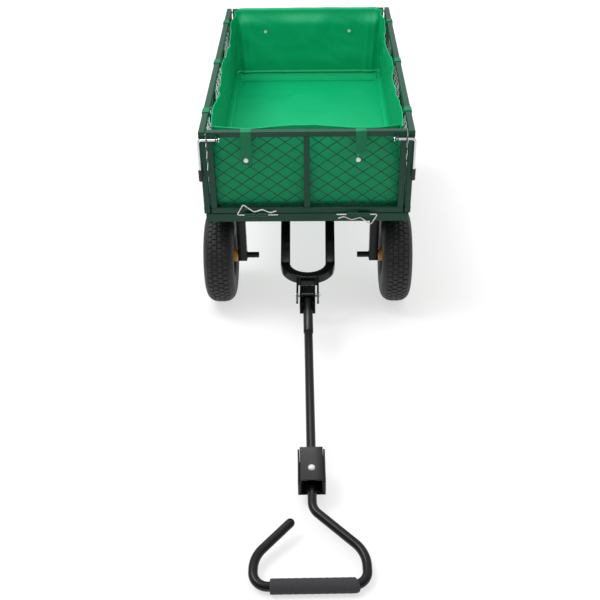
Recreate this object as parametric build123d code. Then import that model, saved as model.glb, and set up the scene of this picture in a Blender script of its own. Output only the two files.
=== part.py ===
from build123d import *
import math
import os

# Garden cart: a steel deck on two wheeled axles, four fold-down mesh sides with a fabric liner,
# a front axle that steers on a turntable, and a pull handle hinged to a U-shaped drawbar.
# X runs across the cart, the front faces -Y and Z is up. The origin is on the ground, under the
# middle of the whole cart with its handle laid down. Sizes are in millimetres.

# ---- Body -------------------------------------------------------------------------------------
BODY_LENGTH = 940
BODY_WIDTH = 520
DECK_TOP = 323
DECK_RAIL = 20
DECK_RAIL_HEIGHT = 24
CROSS_TUBE = 25
SIDE_TOP = 551
SIDE_BOTTOM = 324
SIDE_OVERHANG = 4
SIDE_TUBE = 15
SIDE_BAR = 15
BAR_INSET = 1.5
TUBE_WALL = 1.5
END_CLEARANCE = 4

# ---- Wheels and axles -------------------------------------------------------------------------
WHEEL_RADIUS = 130
TYRE_WIDTH = 81
TRACK = 480
AXLE_INSET = 107
AXLE_RADIUS = 8
POST_TUBE = 25
POST_OUTER = 194
POST_BOTTOM = 117
FRONT_BEAM_BOTTOM = 243
REAR_BEAM_BOTTOM = 274

# ---- Drawbar and handle -----------------------------------------------------------------------
DRAWBAR_HALF = 60
DRAWBAR_BEND = 19
DRAWBAR_SLOPE = 38.5
HINGE_HEIGHT = 150
HINGE_REACH = 119
GRIP_RADIUS = 15.5
HANDLE_RUN = 793.1
HANDLE_LEAN = 1.05
GRIP_LEAD = 1.4
GRIP_LIFT = 0.3
CHANNEL_HALF = 19.8
SOCKET_RADIUS = 12
POLE_RADIUS = 10.5
D_TUBE_RADIUS = 9.75

# ---- Mesh, hinges, latches and liner ----------------------------------------------------------
MESH_WIRE = 2.5
MESH_ACROSS = 41
MESH_UP = 31.5
HINGE_OFFSET = 8
KNUCKLE_RADIUS = 5
KNUCKLE_LENGTH = 30
CLIP_WIRE = 3
END_HINGE_X = 130
SIDE_HINGE_INSET = 230
LATCH_ROD = 6
LATCH_HEIGHT = 535
LATCH_OFFSET = 12
LATCH_LEG_X = 264
LINER = 2.5
STRAP_WIDTH = 28
FRONT_STRAPS = (-148, 133)
REAR_STRAPS = (-137, 137)
FRONT_STRAP_ENDS = (463.5, 495)
REAR_STRAP_ENDS = (469, 469)
FRONT_STUDS = (-150, 127.5)
REAR_STUDS = (-135, 140)
FRONT_STUD_HEIGHT = 475.5
REAR_STUD_HEIGHT = 481
SIDE_STRAP_INSET = 130

# ---- Worked out from the sizes above ------------------------------------------------------------
REACH_FORWARD = HINGE_REACH + HANDLE_RUN + GRIP_LEAD + GRIP_RADIUS
REACH_BACK = BODY_LENGTH - AXLE_INSET + WHEEL_RADIUS
FRONT = (REACH_FORWARD - REACH_BACK) / 2
REAR = FRONT + BODY_LENGTH
MIDDLE = (FRONT + REAR) / 2
HALF = BODY_WIDTH / 2
FRONT_AXLE_Y = FRONT + AXLE_INSET
REAR_AXLE_Y = REAR - AXLE_INSET
DECK_BOTTOM = DECK_TOP - DECK_RAIL_HEIGHT
MESH_THICK = 3
SIDE_HALF = HALF + SIDE_OVERHANG
END_HALF = SIDE_HALF - SIDE_TUBE - END_CLEARANCE
SIDE_HINGE_X = SIDE_HALF + HINGE_OFFSET
HINGE_Y = FRONT - HINGE_REACH
HANDLE_DROP = HINGE_HEIGHT - GRIP_RADIUS - GRIP_LIFT
HANDLE_REACH = math.hypot(HANDLE_RUN, HANDLE_DROP)
HANDLE_SLOPE = math.degrees(math.atan2(HANDLE_DROP, HANDLE_RUN))
FRONT_BEAM_TOP = FRONT_BEAM_BOTTOM + POST_TUBE


# ---- Shapes used throughout ---------------------------------------------------------------------
def block(x0, x1, y0, y1, z0, z1):
    """A block between two opposite corners."""
    centre = Pos((x0 + x1) / 2, (y0 + y1) / 2, (z0 + z1) / 2)
    return centre * Box(abs(x1 - x0), abs(y1 - y0), abs(z1 - z0))


def rod_x(x0, x1, y, z, radius):
    """A round bar along X."""
    return Pos((x0 + x1) / 2, y, z) * Rot(0, 90, 0) * Cylinder(radius, abs(x1 - x0))


def rod_y(x, y0, y1, z, radius):
    """A round bar along Y."""
    return Pos(x, (y0 + y1) / 2, z) * Rot(90, 0, 0) * Cylinder(radius, abs(y1 - y0))


def rod_z(x, y, z0, z1, radius):
    """A round bar along Z."""
    return Pos(x, y, (z0 + z1) / 2) * Cylinder(radius, abs(z1 - z0))


def welded(bars, wall=TUBE_WALL):
    """Hollow square tubes joined into one frame; each bar is the six numbers of a block."""
    outside = None
    inside = None
    for x0, x1, y0, y1, z0, z1 in bars:
        outer = block(x0, x1, y0, y1, z0, z1)
        inner = block(x0 + wall, x1 - wall, y0 + wall, y1 - wall, z0 + wall, z1 - wall)
        outside = outer if outside is None else outside + outer
        inside = inner if inside is None else inside + inner
    return outside - inside


def dome(radius, height):
    """A domed cap standing on XY."""
    ball = (radius**2 + height**2) / (2 * height)
    side = 2 * radius
    return Pos(0, 0, height - ball) * Sphere(ball) & block(-side, side, -side, side, 0, side)


def mirrored(shape):
    """The same shape on the other side of the cart."""
    return shape.mirror(Plane.YZ)


def turned_to_rear(shape):
    """A front piece turned half round about the middle of the body."""
    return shape.rotate(Axis((0, MIDDLE, 0), (0, 0, 1)), 180)


def diamond_mesh(width, height, start=0):
    """A flat mesh sheet centred on XY; start 1 moves its diamond openings along by half a diamond."""
    columns = round(width / MESH_ACROSS)
    rows = round(height / MESH_UP)
    across, up = width / columns, height / rows
    inset = 1 - MESH_WIRE * math.hypot(across, up) / (across * up)
    half_x, half_y = inset * across / 2, inset * up / 2
    diamond = Polygon((half_x, 0), (0, half_y), (-half_x, 0), (0, -half_y))
    inside = Rectangle(width - 2 * MESH_WIRE, height - 2 * MESH_WIRE)
    holes = []
    for i in range(2 * columns + 1):
        for j in range((i + start) % 2, 2 * rows + 1, 2):
            hole = Pos((i / 2 - columns / 2) * across, (j / 2 - rows / 2) * up) * diamond
            if i in (0, 2 * columns) or j in (0, 2 * rows):
                hole = hole & inside
            if not hole.faces():
                continue
            holes.append(hole.face().outer_wire())
    sheet = Face(Rectangle(width, height).face().outer_wire(), holes)
    return Pos(0, 0, -MESH_THICK / 2) * extrude(sheet, MESH_THICK)


def end_mesh(x0, x1, z0, z1, y, start):
    """Mesh that fills an upright opening across the cart."""
    plane = Plane(((x0 + x1) / 2, y, (z0 + z1) / 2), x_dir=(1, 0, 0), z_dir=(0, -1, 0))
    return plane * diamond_mesh(x1 - x0, z1 - z0, start)


def side_mesh(y0, y1, z0, z1, x):
    """Mesh that fills an upright opening along the cart."""
    plane = Plane((x, (y0 + y1) / 2, (z0 + z1) / 2), x_dir=(0, 1, 0), z_dir=(1, 0, 0))
    return plane * diamond_mesh(y1 - y0, z1 - z0)


def wire(points, radii, diameter):
    """A bent round wire through points, with an arc of the given radius at each corner."""
    path = FilletPolyline(*points, radius=radii)
    section = Plane(path @ 0, z_dir=path % 0) * Circle(diameter / 2)
    return sweep(section, path=path)


# ---- Hinges -------------------------------------------------------------------------------------
def knuckle(along, on_side):
    """A hinge tube along X at the origin, with its tab: on the side's rail above, or the deck's."""
    tube = rod_x(along, along + KNUCKLE_LENGTH, 0, 0, KNUCKLE_RADIUS)
    low, high = (2, KNUCKLE_RADIUS) if on_side else (-KNUCKLE_RADIUS, -2)
    tab = block(along, along + KNUCKLE_LENGTH, 0, HINGE_OFFSET, low, high)
    bore = rod_x(along - 1, along + KNUCKLE_LENGTH + 1, 0, 0, CLIP_WIRE / 2 + 0.5)
    return tube + tab - bore


def hinge_clip():
    """A spring clip along X at the origin: its straight leg is the hinge pin, its waved leg hangs."""
    points = [(-54, 0, 0), (50, 0, 0), (33, 0, -30), (6, 0, -8.5)]
    points += [(-16, 0, -15.5), (-36, 0, -6.1), (-50, 0, -11)]
    return wire(points, [3.5, 4, 8, 8, 6], CLIP_WIRE)


def at_end_hinge(shape, x):
    """Places a hinge piece at the front of the deck, centred across the cart on x."""
    return Pos(x, FRONT - HINGE_OFFSET, SIDE_BOTTOM) * shape


def at_side_hinge(shape, y):
    """Places a hinge piece on the right-hand edge of the deck, with its X turned to face front."""
    return Pos(SIDE_HINGE_X, y, SIDE_BOTTOM) * Rot(0, 0, 90) * shape


def end_knuckles(on_side):
    """Both knuckles of the front side, or those of the deck that face them."""
    near = knuckle(-KNUCKLE_LENGTH if on_side else 0.5, on_side)
    pair = at_end_hinge(near, END_HINGE_X)
    return pair + mirrored(pair)


def side_knuckles(on_side):
    """Both knuckles of the right-hand side, or those of the deck that face them."""
    near = knuckle(-KNUCKLE_LENGTH if on_side else 0.5, on_side)
    first = at_side_hinge(near, FRONT + SIDE_HINGE_INSET)
    second = at_side_hinge(near, REAR - SIDE_HINGE_INSET)
    return first + second


# ---- Deck ---------------------------------------------------------------------------------------
def deck_frame():
    """Outer rails with four cross tubes under the mesh, and the deck's hinge knuckles."""
    low, high = DECK_BOTTOM, DECK_TOP
    bars = [
        (-HALF, HALF, FRONT, FRONT + DECK_RAIL, low, high),
        (-HALF, HALF, REAR - DECK_RAIL, REAR, low, high),
        (-HALF, -HALF + DECK_RAIL, FRONT + DECK_RAIL, REAR - DECK_RAIL, low, high),
        (HALF - DECK_RAIL, HALF, FRONT + DECK_RAIL, REAR - DECK_RAIL, low, high),
    ]
    for y in (FRONT_AXLE_Y - 60, FRONT_AXLE_Y + 60, MIDDLE + 30, REAR_AXLE_Y):
        half = CROSS_TUBE / 2
        inner = HALF - DECK_RAIL
        bars.append((-inner, inner, y - half, y + half, low, high - MESH_THICK))
    knuckles = end_knuckles(False) + turned_to_rear(end_knuckles(False))
    knuckles += side_knuckles(False) + mirrored(side_knuckles(False))
    return welded(bars) + knuckles


def deck_mesh():
    """The mesh floor, level with the top of the rails."""
    mesh = diamond_mesh(BODY_WIDTH - 2 * DECK_RAIL, BODY_LENGTH - 2 * DECK_RAIL)
    return Pos(0, MIDDLE, DECK_TOP - MESH_THICK / 2) * mesh


# ---- Folding sides ------------------------------------------------------------------------------
def latch_bracket():
    """Two ears on a backing plate, on the right of the front side's top rail, for a latch rod."""
    bracket = block(219, 244.5, FRONT - 2, FRONT, LATCH_HEIGHT - 8, LATCH_HEIGHT + 8)
    for x in (220.5, 243):
        flat = block(x - 1.5, x + 1.5, FRONT - LATCH_OFFSET, FRONT, LATCH_HEIGHT - 7, LATCH_HEIGHT + 7)
        bracket += flat + rod_x(x - 1.5, x + 1.5, FRONT - LATCH_OFFSET, LATCH_HEIGHT, 7)
    return bracket - rod_x(200, 260, FRONT - LATCH_OFFSET, LATCH_HEIGHT, LATCH_ROD / 2 + 0.08)


def end_frame():
    """The front side: rails, end posts, a middle bar, hinge knuckles and latch brackets."""
    y0, y1 = FRONT, FRONT + SIDE_TUBE
    post = END_HALF - SIDE_TUBE
    bar = SIDE_BAR / 2
    low, high = SIDE_BOTTOM + SIDE_TUBE, SIDE_TOP - SIDE_TUBE
    bars = [
        (-END_HALF, END_HALF, y0, y1, SIDE_BOTTOM, low),
        (-END_HALF, END_HALF, y0, y1, high, SIDE_TOP),
        (-END_HALF, -post, y0, y1, low, high),
        (post, END_HALF, y0, y1, low, high),
        (-bar, bar, y0 + BAR_INSET, y1 - BAR_INSET, low, high),
    ]
    bracket = latch_bracket()
    return welded(bars) + end_knuckles(True) + bracket + mirrored(bracket)


def end_meshes(starts):
    """The two mesh fields of the front side, left and right, each with its own start."""
    low, high = SIDE_BOTTOM + SIDE_TUBE, SIDE_TOP - SIDE_TUBE
    fields = []
    for start in starts:
        mesh = end_mesh(SIDE_BAR / 2, END_HALF - SIDE_TUBE, low, high, FRONT + SIDE_TUBE / 2, start)
        fields.append(mesh if fields else mirrored(mesh))
    return Compound(fields)


def side_bar_places():
    """Where the two upright bars of a long side stand."""
    return [FRONT + BODY_LENGTH / 3, FRONT + 2 * BODY_LENGTH / 3]


def side_frame():
    """The right-hand side: rails, end posts, two upright bars and hinge knuckles."""
    x0, x1 = SIDE_HALF - SIDE_TUBE, SIDE_HALF
    low, high = SIDE_BOTTOM + SIDE_TUBE, SIDE_TOP - SIDE_TUBE
    bars = [
        (x0, x1, FRONT, REAR, SIDE_BOTTOM, low),
        (x0, x1, FRONT, REAR, high, SIDE_TOP),
        (x0, x1, FRONT, FRONT + SIDE_TUBE, low, high),
        (x0, x1, REAR - SIDE_TUBE, REAR, low, high),
    ]
    for y in side_bar_places():
        edge = SIDE_BAR / 2
        bars.append((x0 + BAR_INSET, x1 - BAR_INSET, y - edge, y + edge, low, high))
    return welded(bars) + side_knuckles(True)


def side_meshes():
    """The three mesh fields of the right-hand side."""
    low, high = SIDE_BOTTOM + SIDE_TUBE, SIDE_TOP - SIDE_TUBE
    edges = [FRONT + SIDE_TUBE]
    for y in side_bar_places():
        edges += [y - SIDE_BAR / 2, y + SIDE_BAR / 2]
    edges.append(REAR - SIDE_TUBE)
    fields = zip(edges[0::2], edges[1::2])
    return Compound([side_mesh(y0, y1, low, high, SIDE_HALF - SIDE_TUBE / 2) for y0, y1 in fields])


# ---- Liner --------------------------------------------------------------------------------------
LINER_LOW = DECK_TOP + LINER + 2
LINER_HIGH = SIDE_TOP - SIDE_TUBE / 2
FLAP = 28
FLAP_HALF = 206
STUD_SHANK = 2


def liner_floor():
    """The fabric floor, lying on the deck mesh."""
    edge = SIDE_TUBE + 6
    x = SIDE_HALF - edge
    return block(-x, x, FRONT + edge, REAR - edge, DECK_TOP, DECK_TOP + LINER)


def end_liner(straps, ends, studs, stud_height, covers_rail=False):
    """The fabric wall inside the front side, with straps over the top rail or a cover over all of it."""
    y = FRONT + SIDE_TUBE
    width = END_HALF - 2
    wall = block(-width, width, y, y + LINER, LINER_LOW, LINER_HIGH)
    if covers_rail:
        wall += block(-width, width, y, y + LINER, LINER_HIGH, SIDE_TOP + LINER)
        wall += block(-width, width, FRONT - LINER, y, SIDE_TOP, SIDE_TOP + LINER)
        wall += block(-FLAP_HALF, FLAP_HALF, FRONT - LINER, FRONT, SIDE_TOP - FLAP, SIDE_TOP)
    for centre, end in zip(straps, ends):
        x0, x1 = centre - STRAP_WIDTH / 2, centre + STRAP_WIDTH / 2
        wall += block(x0, x1, y, y + LINER, LINER_HIGH, SIDE_TOP + LINER)
        wall += block(x0, x1, FRONT - LINER, y, SIDE_TOP, SIDE_TOP + LINER)
        wall += block(x0, x1, FRONT - LINER, FRONT, end, SIDE_TOP)
    for x in studs:
        wall -= rod_y(x, FRONT - 10, y + 10, stud_height, STUD_SHANK + 0.1)
    return wall


def side_liner():
    """The fabric wall inside the right-hand side, with three straps over the top rail."""
    x = SIDE_HALF - SIDE_TUBE
    edge = SIDE_TUBE + LINER + 1.5
    wall = block(x - LINER, x, FRONT + edge, REAR - edge, LINER_LOW, LINER_HIGH)
    for centre in (FRONT + SIDE_STRAP_INSET, MIDDLE, REAR - SIDE_STRAP_INSET):
        y0, y1 = centre - STRAP_WIDTH / 2, centre + STRAP_WIDTH / 2
        band = block(x - LINER, SIDE_HALF + LINER, y0, y1, SIDE_TOP - SIDE_TUBE, SIDE_TOP + LINER)
        wall += band - block(x, SIDE_HALF, y0, y1, SIDE_TOP - SIDE_TUBE, SIDE_TOP)
    return wall


def liner_studs(studs, z):
    """The press studs of the front side: each a cap, a shank through the mesh and a washer behind."""
    back = FRONT + SIDE_TUBE + LINER
    pieces = []
    for x in studs:
        stud = rod_y(x, FRONT - LINER - 3, FRONT - LINER, z, 6)
        stud += rod_y(x, FRONT - LINER, back, z, STUD_SHANK)
        stud += rod_y(x, back, back + 1.5, z, 5)
        pieces.append(stud)
    return Compound(pieces)


# ---- Latches ------------------------------------------------------------------------------------
def latch_rod():
    """The right front latch: a rod in the bracket, bent down in front of the side's end post."""
    y = FRONT - LATCH_OFFSET
    points = [(214, y, LATCH_HEIGHT), (LATCH_LEG_X, y, LATCH_HEIGHT), (LATCH_LEG_X, y, 427)]
    flare = Polyline((0, 0), (0, 6.3), (2, 6.3), (6, 3.1), (6, 0), close=True)
    head = revolve(make_face(flare), Axis.X, 360)
    return wire(points, [9], LATCH_ROD) + Pos(211, y, LATCH_HEIGHT) * head


def latch_tip():
    """The rubber sleeve on the end of a latch leg."""
    y = FRONT - LATCH_OFFSET
    sleeve = rod_z(LATCH_LEG_X, y, 424, 455, 5.25)
    return sleeve - rod_z(LATCH_LEG_X, y, 427, 456, LATCH_ROD / 2 + 0.05)


# ---- Wheels -------------------------------------------------------------------------------------
HUB_INNER = POST_OUTER + 2
HUB_OUTER = HUB_INNER + 76
BEARING_RADIUS = 15
BEARING_LENGTH = 10
HUB_RADIUS = 18.5
BARREL_RADIUS = 48
FLANGE_RADIUS = 58
RIM_HALF = 27


def turned(points, x, y):
    """A ring turned about a wheel axis; points give distance along X from x, then radius."""
    ring = revolve(make_face(Polyline(*points, close=True)), Axis.X, 360)
    return Pos(x, y, WHEEL_RADIUS) * ring


def tyre(y):
    """A pneumatic tyre, drawn as half a section and mirrored: bead, bulging wall, shoulder, tread."""
    bead = RIM_HALF - 0.2
    outside = [(0, 130), (21, 127.5), (34, 119), (39, 106), (TYRE_WIDTH / 2, 92), (39.5, 76)]
    outside += [(35, 64), (bead, 58.4), (bead, BARREL_RADIUS + 3.2)]
    inside = [(22, BARREL_RADIUS + 3.2), (26, 64), (30, 78), (32, 92), (28, 110), (19, 118), (0, 120)]
    half = turned(outside + inside, TRACK / 2, y)
    return half + half.mirror(Plane.YZ.offset(TRACK / 2))


def rim(y):
    """A pressed wheel: barrel with flanges, a disc, and the hub tube with seats for the bearings."""
    centre = TRACK / 2
    flange = 2.5
    barrel = [(-RIM_HALF - flange, BARREL_RADIUS), (-RIM_HALF - flange, FLANGE_RADIUS)]
    barrel += [(-RIM_HALF, FLANGE_RADIUS), (-RIM_HALF, BARREL_RADIUS + 3)]
    barrel += [(-x, r) for x, r in reversed(barrel)]
    disc = [(-2, HUB_RADIUS - 1), (-2, BARREL_RADIUS + 1), (1, BARREL_RADIUS + 1), (1, HUB_RADIUS - 1)]
    wheel = turned(barrel, centre, y) + turned(disc, centre, y)
    wheel += rod_x(HUB_INNER, HUB_OUTER, y, WHEEL_RADIUS, HUB_RADIUS)
    wheel -= rod_x(HUB_INNER, HUB_OUTER, y, WHEEL_RADIUS, 10)
    for x0, x1 in bearing_places():
        wheel -= rod_x(x0, x1, y, WHEEL_RADIUS, BEARING_RADIUS + 0.02)
    return wheel


def bearing_places():
    """The two ends of the hub, where the bearings sit."""
    return [(HUB_INNER, HUB_INNER + BEARING_LENGTH), (HUB_OUTER - BEARING_LENGTH, HUB_OUTER)]


def bearings(y):
    """The two sleeve bearings in the hub."""
    rings = []
    for x0, x1 in bearing_places():
        bore = rod_x(x0 - 1, x1 + 1, y, WHEEL_RADIUS, AXLE_RADIUS + 0.08)
        rings.append(rod_x(x0, x1, y, WHEEL_RADIUS, BEARING_RADIUS) - bore)
    return Compound(rings)


# ---- Axles --------------------------------------------------------------------------------------
AXLE_INNER_END = 136
AXLE_OUTER_END = 282
PIN_X = 277.5
PIN_RADIUS = 2


def stub_axles(y):
    """Both stub axles of one axle frame, each with a cross hole for its split pin."""
    stub = rod_x(AXLE_INNER_END, AXLE_OUTER_END, y, WHEEL_RADIUS, AXLE_RADIUS)
    stub -= rod_z(PIN_X, y, WHEEL_RADIUS - 20, WHEEL_RADIUS + 20, PIN_RADIUS + 0.05)
    return Compound([stub, mirrored(stub)])


def wheel_retainers(y):
    """Washers on both sides of each hub, and the split pins that hold the wheels on."""
    pieces = []
    for x0, x1 in ((POST_OUTER, HUB_INNER - 0.3), (HUB_OUTER + 0.3, HUB_OUTER + 2.5)):
        hole = rod_x(x0 - 1, x1 + 1, y, WHEEL_RADIUS, AXLE_RADIUS + 0.1)
        pieces.append(rod_x(x0, x1, y, WHEEL_RADIUS, 14) - hole)
    pieces.append(rod_z(PIN_X, y, WHEEL_RADIUS - 14, WHEEL_RADIUS + 14, PIN_RADIUS))
    return Compound(pieces + [mirrored(piece) for piece in pieces])


def axle_frame(y, beam_bottom, extra_bars=()):
    """A cross beam with a post at each end, drilled for the stub axles."""
    half = POST_TUBE / 2
    inner = POST_OUTER - POST_TUBE
    bars = [(-POST_OUTER, POST_OUTER, y - half, y + half, beam_bottom, beam_bottom + POST_TUBE)]
    bars.append((inner, POST_OUTER, y - half, y + half, POST_BOTTOM, beam_bottom))
    bars.append((-POST_OUTER, -inner, y - half, y + half, POST_BOTTOM, beam_bottom))
    frame = welded(bars + list(extra_bars), 2)
    return frame - rod_x(-HALF, HALF, y, WHEEL_RADIUS, AXLE_RADIUS + 0.03)


def front_axle_frame():
    """The front axle frame, with two short risers under the turntable."""
    y, half, top = FRONT_AXLE_Y, POST_TUBE / 2, FRONT_BEAM_TOP
    risers = [(x, x + POST_TUBE, y - half, y + half, top, TURNTABLE_LOW) for x in (-60, 35)]
    return axle_frame(y, FRONT_BEAM_BOTTOM, risers)


# ---- Turntable ----------------------------------------------------------------------------------
PLATE = 5
TURNTABLE_HALF = 75
TURNTABLE_LOW = DECK_BOTTOM - 2 * PLATE - 1
KINGPIN_RADIUS = 8


def turntable_top():
    """The square plate under the deck's front cross tubes."""
    half = TURNTABLE_HALF
    y = FRONT_AXLE_Y
    plate = block(-half, half, y - half, y + half, DECK_BOTTOM - PLATE, DECK_BOTTOM)
    return plate - rod_z(0, y, 200, 400, KINGPIN_RADIUS + 0.03)


def turntable_bottom():
    """The round plate on the front axle frame that turns under the square one."""
    plate = rod_z(0, FRONT_AXLE_Y, TURNTABLE_LOW, TURNTABLE_LOW + PLATE, TURNTABLE_HALF)
    return plate - rod_z(0, FRONT_AXLE_Y, 200, 400, KINGPIN_RADIUS + 0.08)


def kingpin():
    """The bolt that the front axle turns about, with its nut under the lower plate."""
    y = FRONT_AXLE_Y
    bolt = rod_z(0, y, TURNTABLE_LOW - 15, DECK_BOTTOM, KINGPIN_RADIUS)
    bolt += Pos(0, y, DECK_BOTTOM) * extrude(RegularPolygon(13, 6), 10)
    nut = Pos(0, y, TURNTABLE_LOW - 13.5) * extrude(RegularPolygon(13, 6), 13)
    nut -= rod_z(0, y, 200, 400, KINGPIN_RADIUS + 0.03)
    return Compound([bolt, nut])


# ---- Drawbar ------------------------------------------------------------------------------------
EAR_INNER = 24
EAR_THICK = 5
HINGE_BOLT_RADIUS = 5


def drawbar_core(half, top):
    """A U of square bar with the given half width: a level bend, and two legs that rise to top."""
    y, z, radius = FRONT + DRAWBAR_BEND, HINGE_HEIGHT, DRAWBAR_HALF
    core = Cylinder(radius + half, 2 * half) - Cylinder(radius - half, 2 * half)
    core = core & block(-100, 100, -100, 0, -half, half)
    for x in (-radius, radius):
        leg = block(x - half, x + half, 0, 220, -half, half)
        core += Rot(DRAWBAR_SLOPE, 0, 0) * leg
        core += rod_x(x - half, x + half, 0, 0, half)
    core = Pos(0, y, z) * core
    return core & block(-100, 100, y - 100, y + 300, z - 2 * half, top)


def drawbar_loop():
    """The U-shaped drawbar, hollow, welded under the front beam."""
    half = POST_TUBE / 2
    wall = 2
    return drawbar_core(half, FRONT_BEAM_BOTTOM) - drawbar_core(half - wall, FRONT_BEAM_BOTTOM - wall)


def drawbar_fork():
    """Two tapered ears on a plate against the bend of the drawbar, drilled for the hinge bolt."""
    bend = FRONT + DRAWBAR_BEND - DRAWBAR_HALF - POST_TUBE / 2
    z = HINGE_HEIGHT
    outline = Polyline(
        (bend, z - 12), (bend, z + 12), (HINGE_Y, z + 9), (HINGE_Y - 28, z - 1), (HINGE_Y - 28, z - 8),
        (HINGE_Y, z - 11), close=True,
    )
    ear = extrude(Plane.YZ * make_face(outline), EAR_THICK)
    ear = Pos(EAR_INNER, 0, 0) * ear
    plate = block(-EAR_INNER, EAR_INNER, bend - 4, bend, z - 12, z + 12)
    fork = ear + mirrored(ear) + plate
    return fork - rod_x(-HALF, HALF, HINGE_Y, z, HINGE_BOLT_RADIUS + 0.03)


def drawbar_bolt():
    """The bolt that the handle hinges on: a domed head, a shank and a domed nut."""
    outer = EAR_INNER + EAR_THICK
    shank = rod_x(-outer - 2, outer + 2, HINGE_Y, HINGE_HEIGHT, HINGE_BOLT_RADIUS)
    head = Pos(outer, HINGE_Y, HINGE_HEIGHT) * Rot(0, 90, 0) * dome(7.5, 5)
    return shank + head + mirrored(head)


# ---- Handle -------------------------------------------------------------------------------------
# The handle is drawn level and straight ahead of its hinge, and then tipped down to the ground.
WEB = 3
SOCKET_END = 132
POLE_END = 518
BOX_START = 493.5
BOX_END = 580
BOX_PLATE_END = 579
BOX_HALF = 25
BOX_HEIGHT = 27
BOX_BOLT = 548
D_START = 526
FOAM_HALF = 86.5
FOAM_BEND = 75.8
FOAM_TURN = 21
D_CORNER = 30


def tipped(shape):
    """Turns a level handle piece about the hinge bolt, until the grip lies on the ground."""
    placed = Pos(0, HINGE_Y, HINGE_HEIGHT) * shape
    return placed.rotate(Axis((0, HINGE_Y, HINGE_HEIGHT), (1, 0, 0)), HANDLE_SLOPE)


def leaned(shape):
    """Swings a level handle piece a little to the right, which is how the pole stands in its channel."""
    return Rot(0, 0, HANDLE_LEAN) * shape


def handle_channel():
    """The channel on the hinge bolt, open at the top, with the pole's socket welded in it."""
    half = CHANNEL_HALF
    floor = -SOCKET_RADIUS + 1
    channel = block(-half, half, -48, 53, floor - WEB, 17)
    channel -= block(-half + WEB, half - WEB, -60, 60, floor, 20)
    channel = channel + leaned(rod_y(0, -20, -SOCKET_END, 0, SOCKET_RADIUS))
    channel -= leaned(rod_y(0, -21, -SOCKET_END - 8, 0, POLE_RADIUS + 0.03))
    return tipped(channel - rod_x(-HALF, HALF, 0, 0, HINGE_BOLT_RADIUS + 0.08))


def handle_pole():
    """The round pole from the socket to the hitch box, closed at both ends."""
    pole = rod_y(0, -22, -POLE_END, 0, POLE_RADIUS) - rod_y(0, -24, 2 - POLE_END, 0, POLE_RADIUS - 2)
    return tipped(leaned(pole))


def hitch_box_inner():
    """The upper channel of the hitch box, with an end plate round the pole."""
    x, z = BOX_HALF, BOX_HEIGHT
    shell = block(-x, x, -BOX_START, -BOX_PLATE_END, -z + WEB + 1, z)
    shell -= block(-x + WEB, x - WEB, -BOX_START - WEB, -BOX_PLATE_END - 10, -z, z - WEB)
    shell -= rod_y(0, -BOX_START + 10, -BOX_START - 10, 0, POLE_RADIUS + 0.03)
    return tipped(leaned(shell - rod_z(0, -BOX_BOLT, 0, 60, 4.03)))


def hitch_box_outer():
    """The lower channel of the hitch box, outside the upper one."""
    x, z = BOX_HALF + 4.7, BOX_HEIGHT
    shell = block(-x, x, -BOX_START - 4, -BOX_END, -z - 1, z - 3)
    shell -= block(-BOX_HALF - 0.7, BOX_HALF + 0.7, -BOX_START, -BOX_END - 5, -z + WEB, z)
    return tipped(leaned(shell - rod_z(0, -BOX_BOLT, -60, 0, 4.03)))


def hitch_bolt():
    """The bolt through the hitch box and the end of the grip tube, with its nut below."""
    z = BOX_HEIGHT
    bolt = rod_z(0, -BOX_BOLT, -z - 10, z + 2, 4)
    bolt += Pos(0, -BOX_BOLT, z) * dome(7.9, 5.5)
    nut = Pos(0, -BOX_BOLT, -z - 7.5) * extrude(RegularPolygon(7, 6), 6.5)
    nut -= rod_z(0, -BOX_BOLT, -60, 0, 4.03)
    return Compound([tipped(leaned(bolt)), tipped(leaned(nut))])


def d_path(start_trim, end_trim):
    """The centre line of the grip tube, from inside the hitch box round to its free end."""
    grip = HANDLE_REACH
    free = Vector(-46.5, -664.4, 0)
    bend = Vector(-119.9, -741.3, 0)
    free = free + (bend - free).normalized() * end_trim
    points = [(0, -D_START - start_trim, 0), (0, -632, 0), (105.8, -733.9, 0), (105.8, -grip, 0)]
    points += [(-119.9, -grip, 0), bend, free]
    return FilletPolyline(*points, radius=[38, 68, D_CORNER, D_CORNER, 65])


def d_handle_tube():
    """The grip tube, bent to a D that stays open beside the hitch box, with rounded free end."""
    outer = d_path(0, 0)
    inner = d_path(3, 3)
    tube = sweep(Plane(outer @ 0, z_dir=outer % 0) * Circle(D_TUBE_RADIUS), path=outer)
    tube += Pos(outer @ 1) * Sphere(D_TUBE_RADIUS)
    tube -= sweep(Plane(inner @ 0, z_dir=inner % 0) * Circle(D_TUBE_RADIUS - 2), path=inner)
    return tipped(leaned(tube - rod_z(0, -BOX_BOLT, -60, 60, 4.1)))


def foam_grip():
    """The foam sleeve on the grip tube; its right end follows the start of the tube's bend."""
    y = -HANDLE_REACH
    straight = Line((-FOAM_HALF, y, 0), (FOAM_BEND, y, 0))
    path = straight + JernArc(straight @ 1, (1, 0, 0), D_CORNER, FOAM_TURN)
    ring = Circle(GRIP_RADIUS) - Circle(D_TUBE_RADIUS + 0.03)
    return tipped(leaned(sweep(Plane(path @ 0, z_dir=path % 0) * ring, path=path)))


# ---- The pieces, by name --------------------------------------------------------------------------
def both_ends(name, front):
    """A front piece and its twin at the rear."""
    return {f"front_{name}": front, f"rear_{name}": turned_to_rear(front)}


def both_sides(name, right):
    """A right-hand piece and its twin on the left."""
    return {f"right_{name}": right, f"left_{name}": mirrored(right)}


def latches(name, right):
    """A front right piece of a latch, repeated at all four corners."""
    left = mirrored(right)
    corners = {"front_right": right, "front_left": left}
    corners |= {"rear_left": turned_to_rear(right), "rear_right": turned_to_rear(left)}
    return {f"{corner}_{name}": shape for corner, shape in corners.items()}


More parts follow.
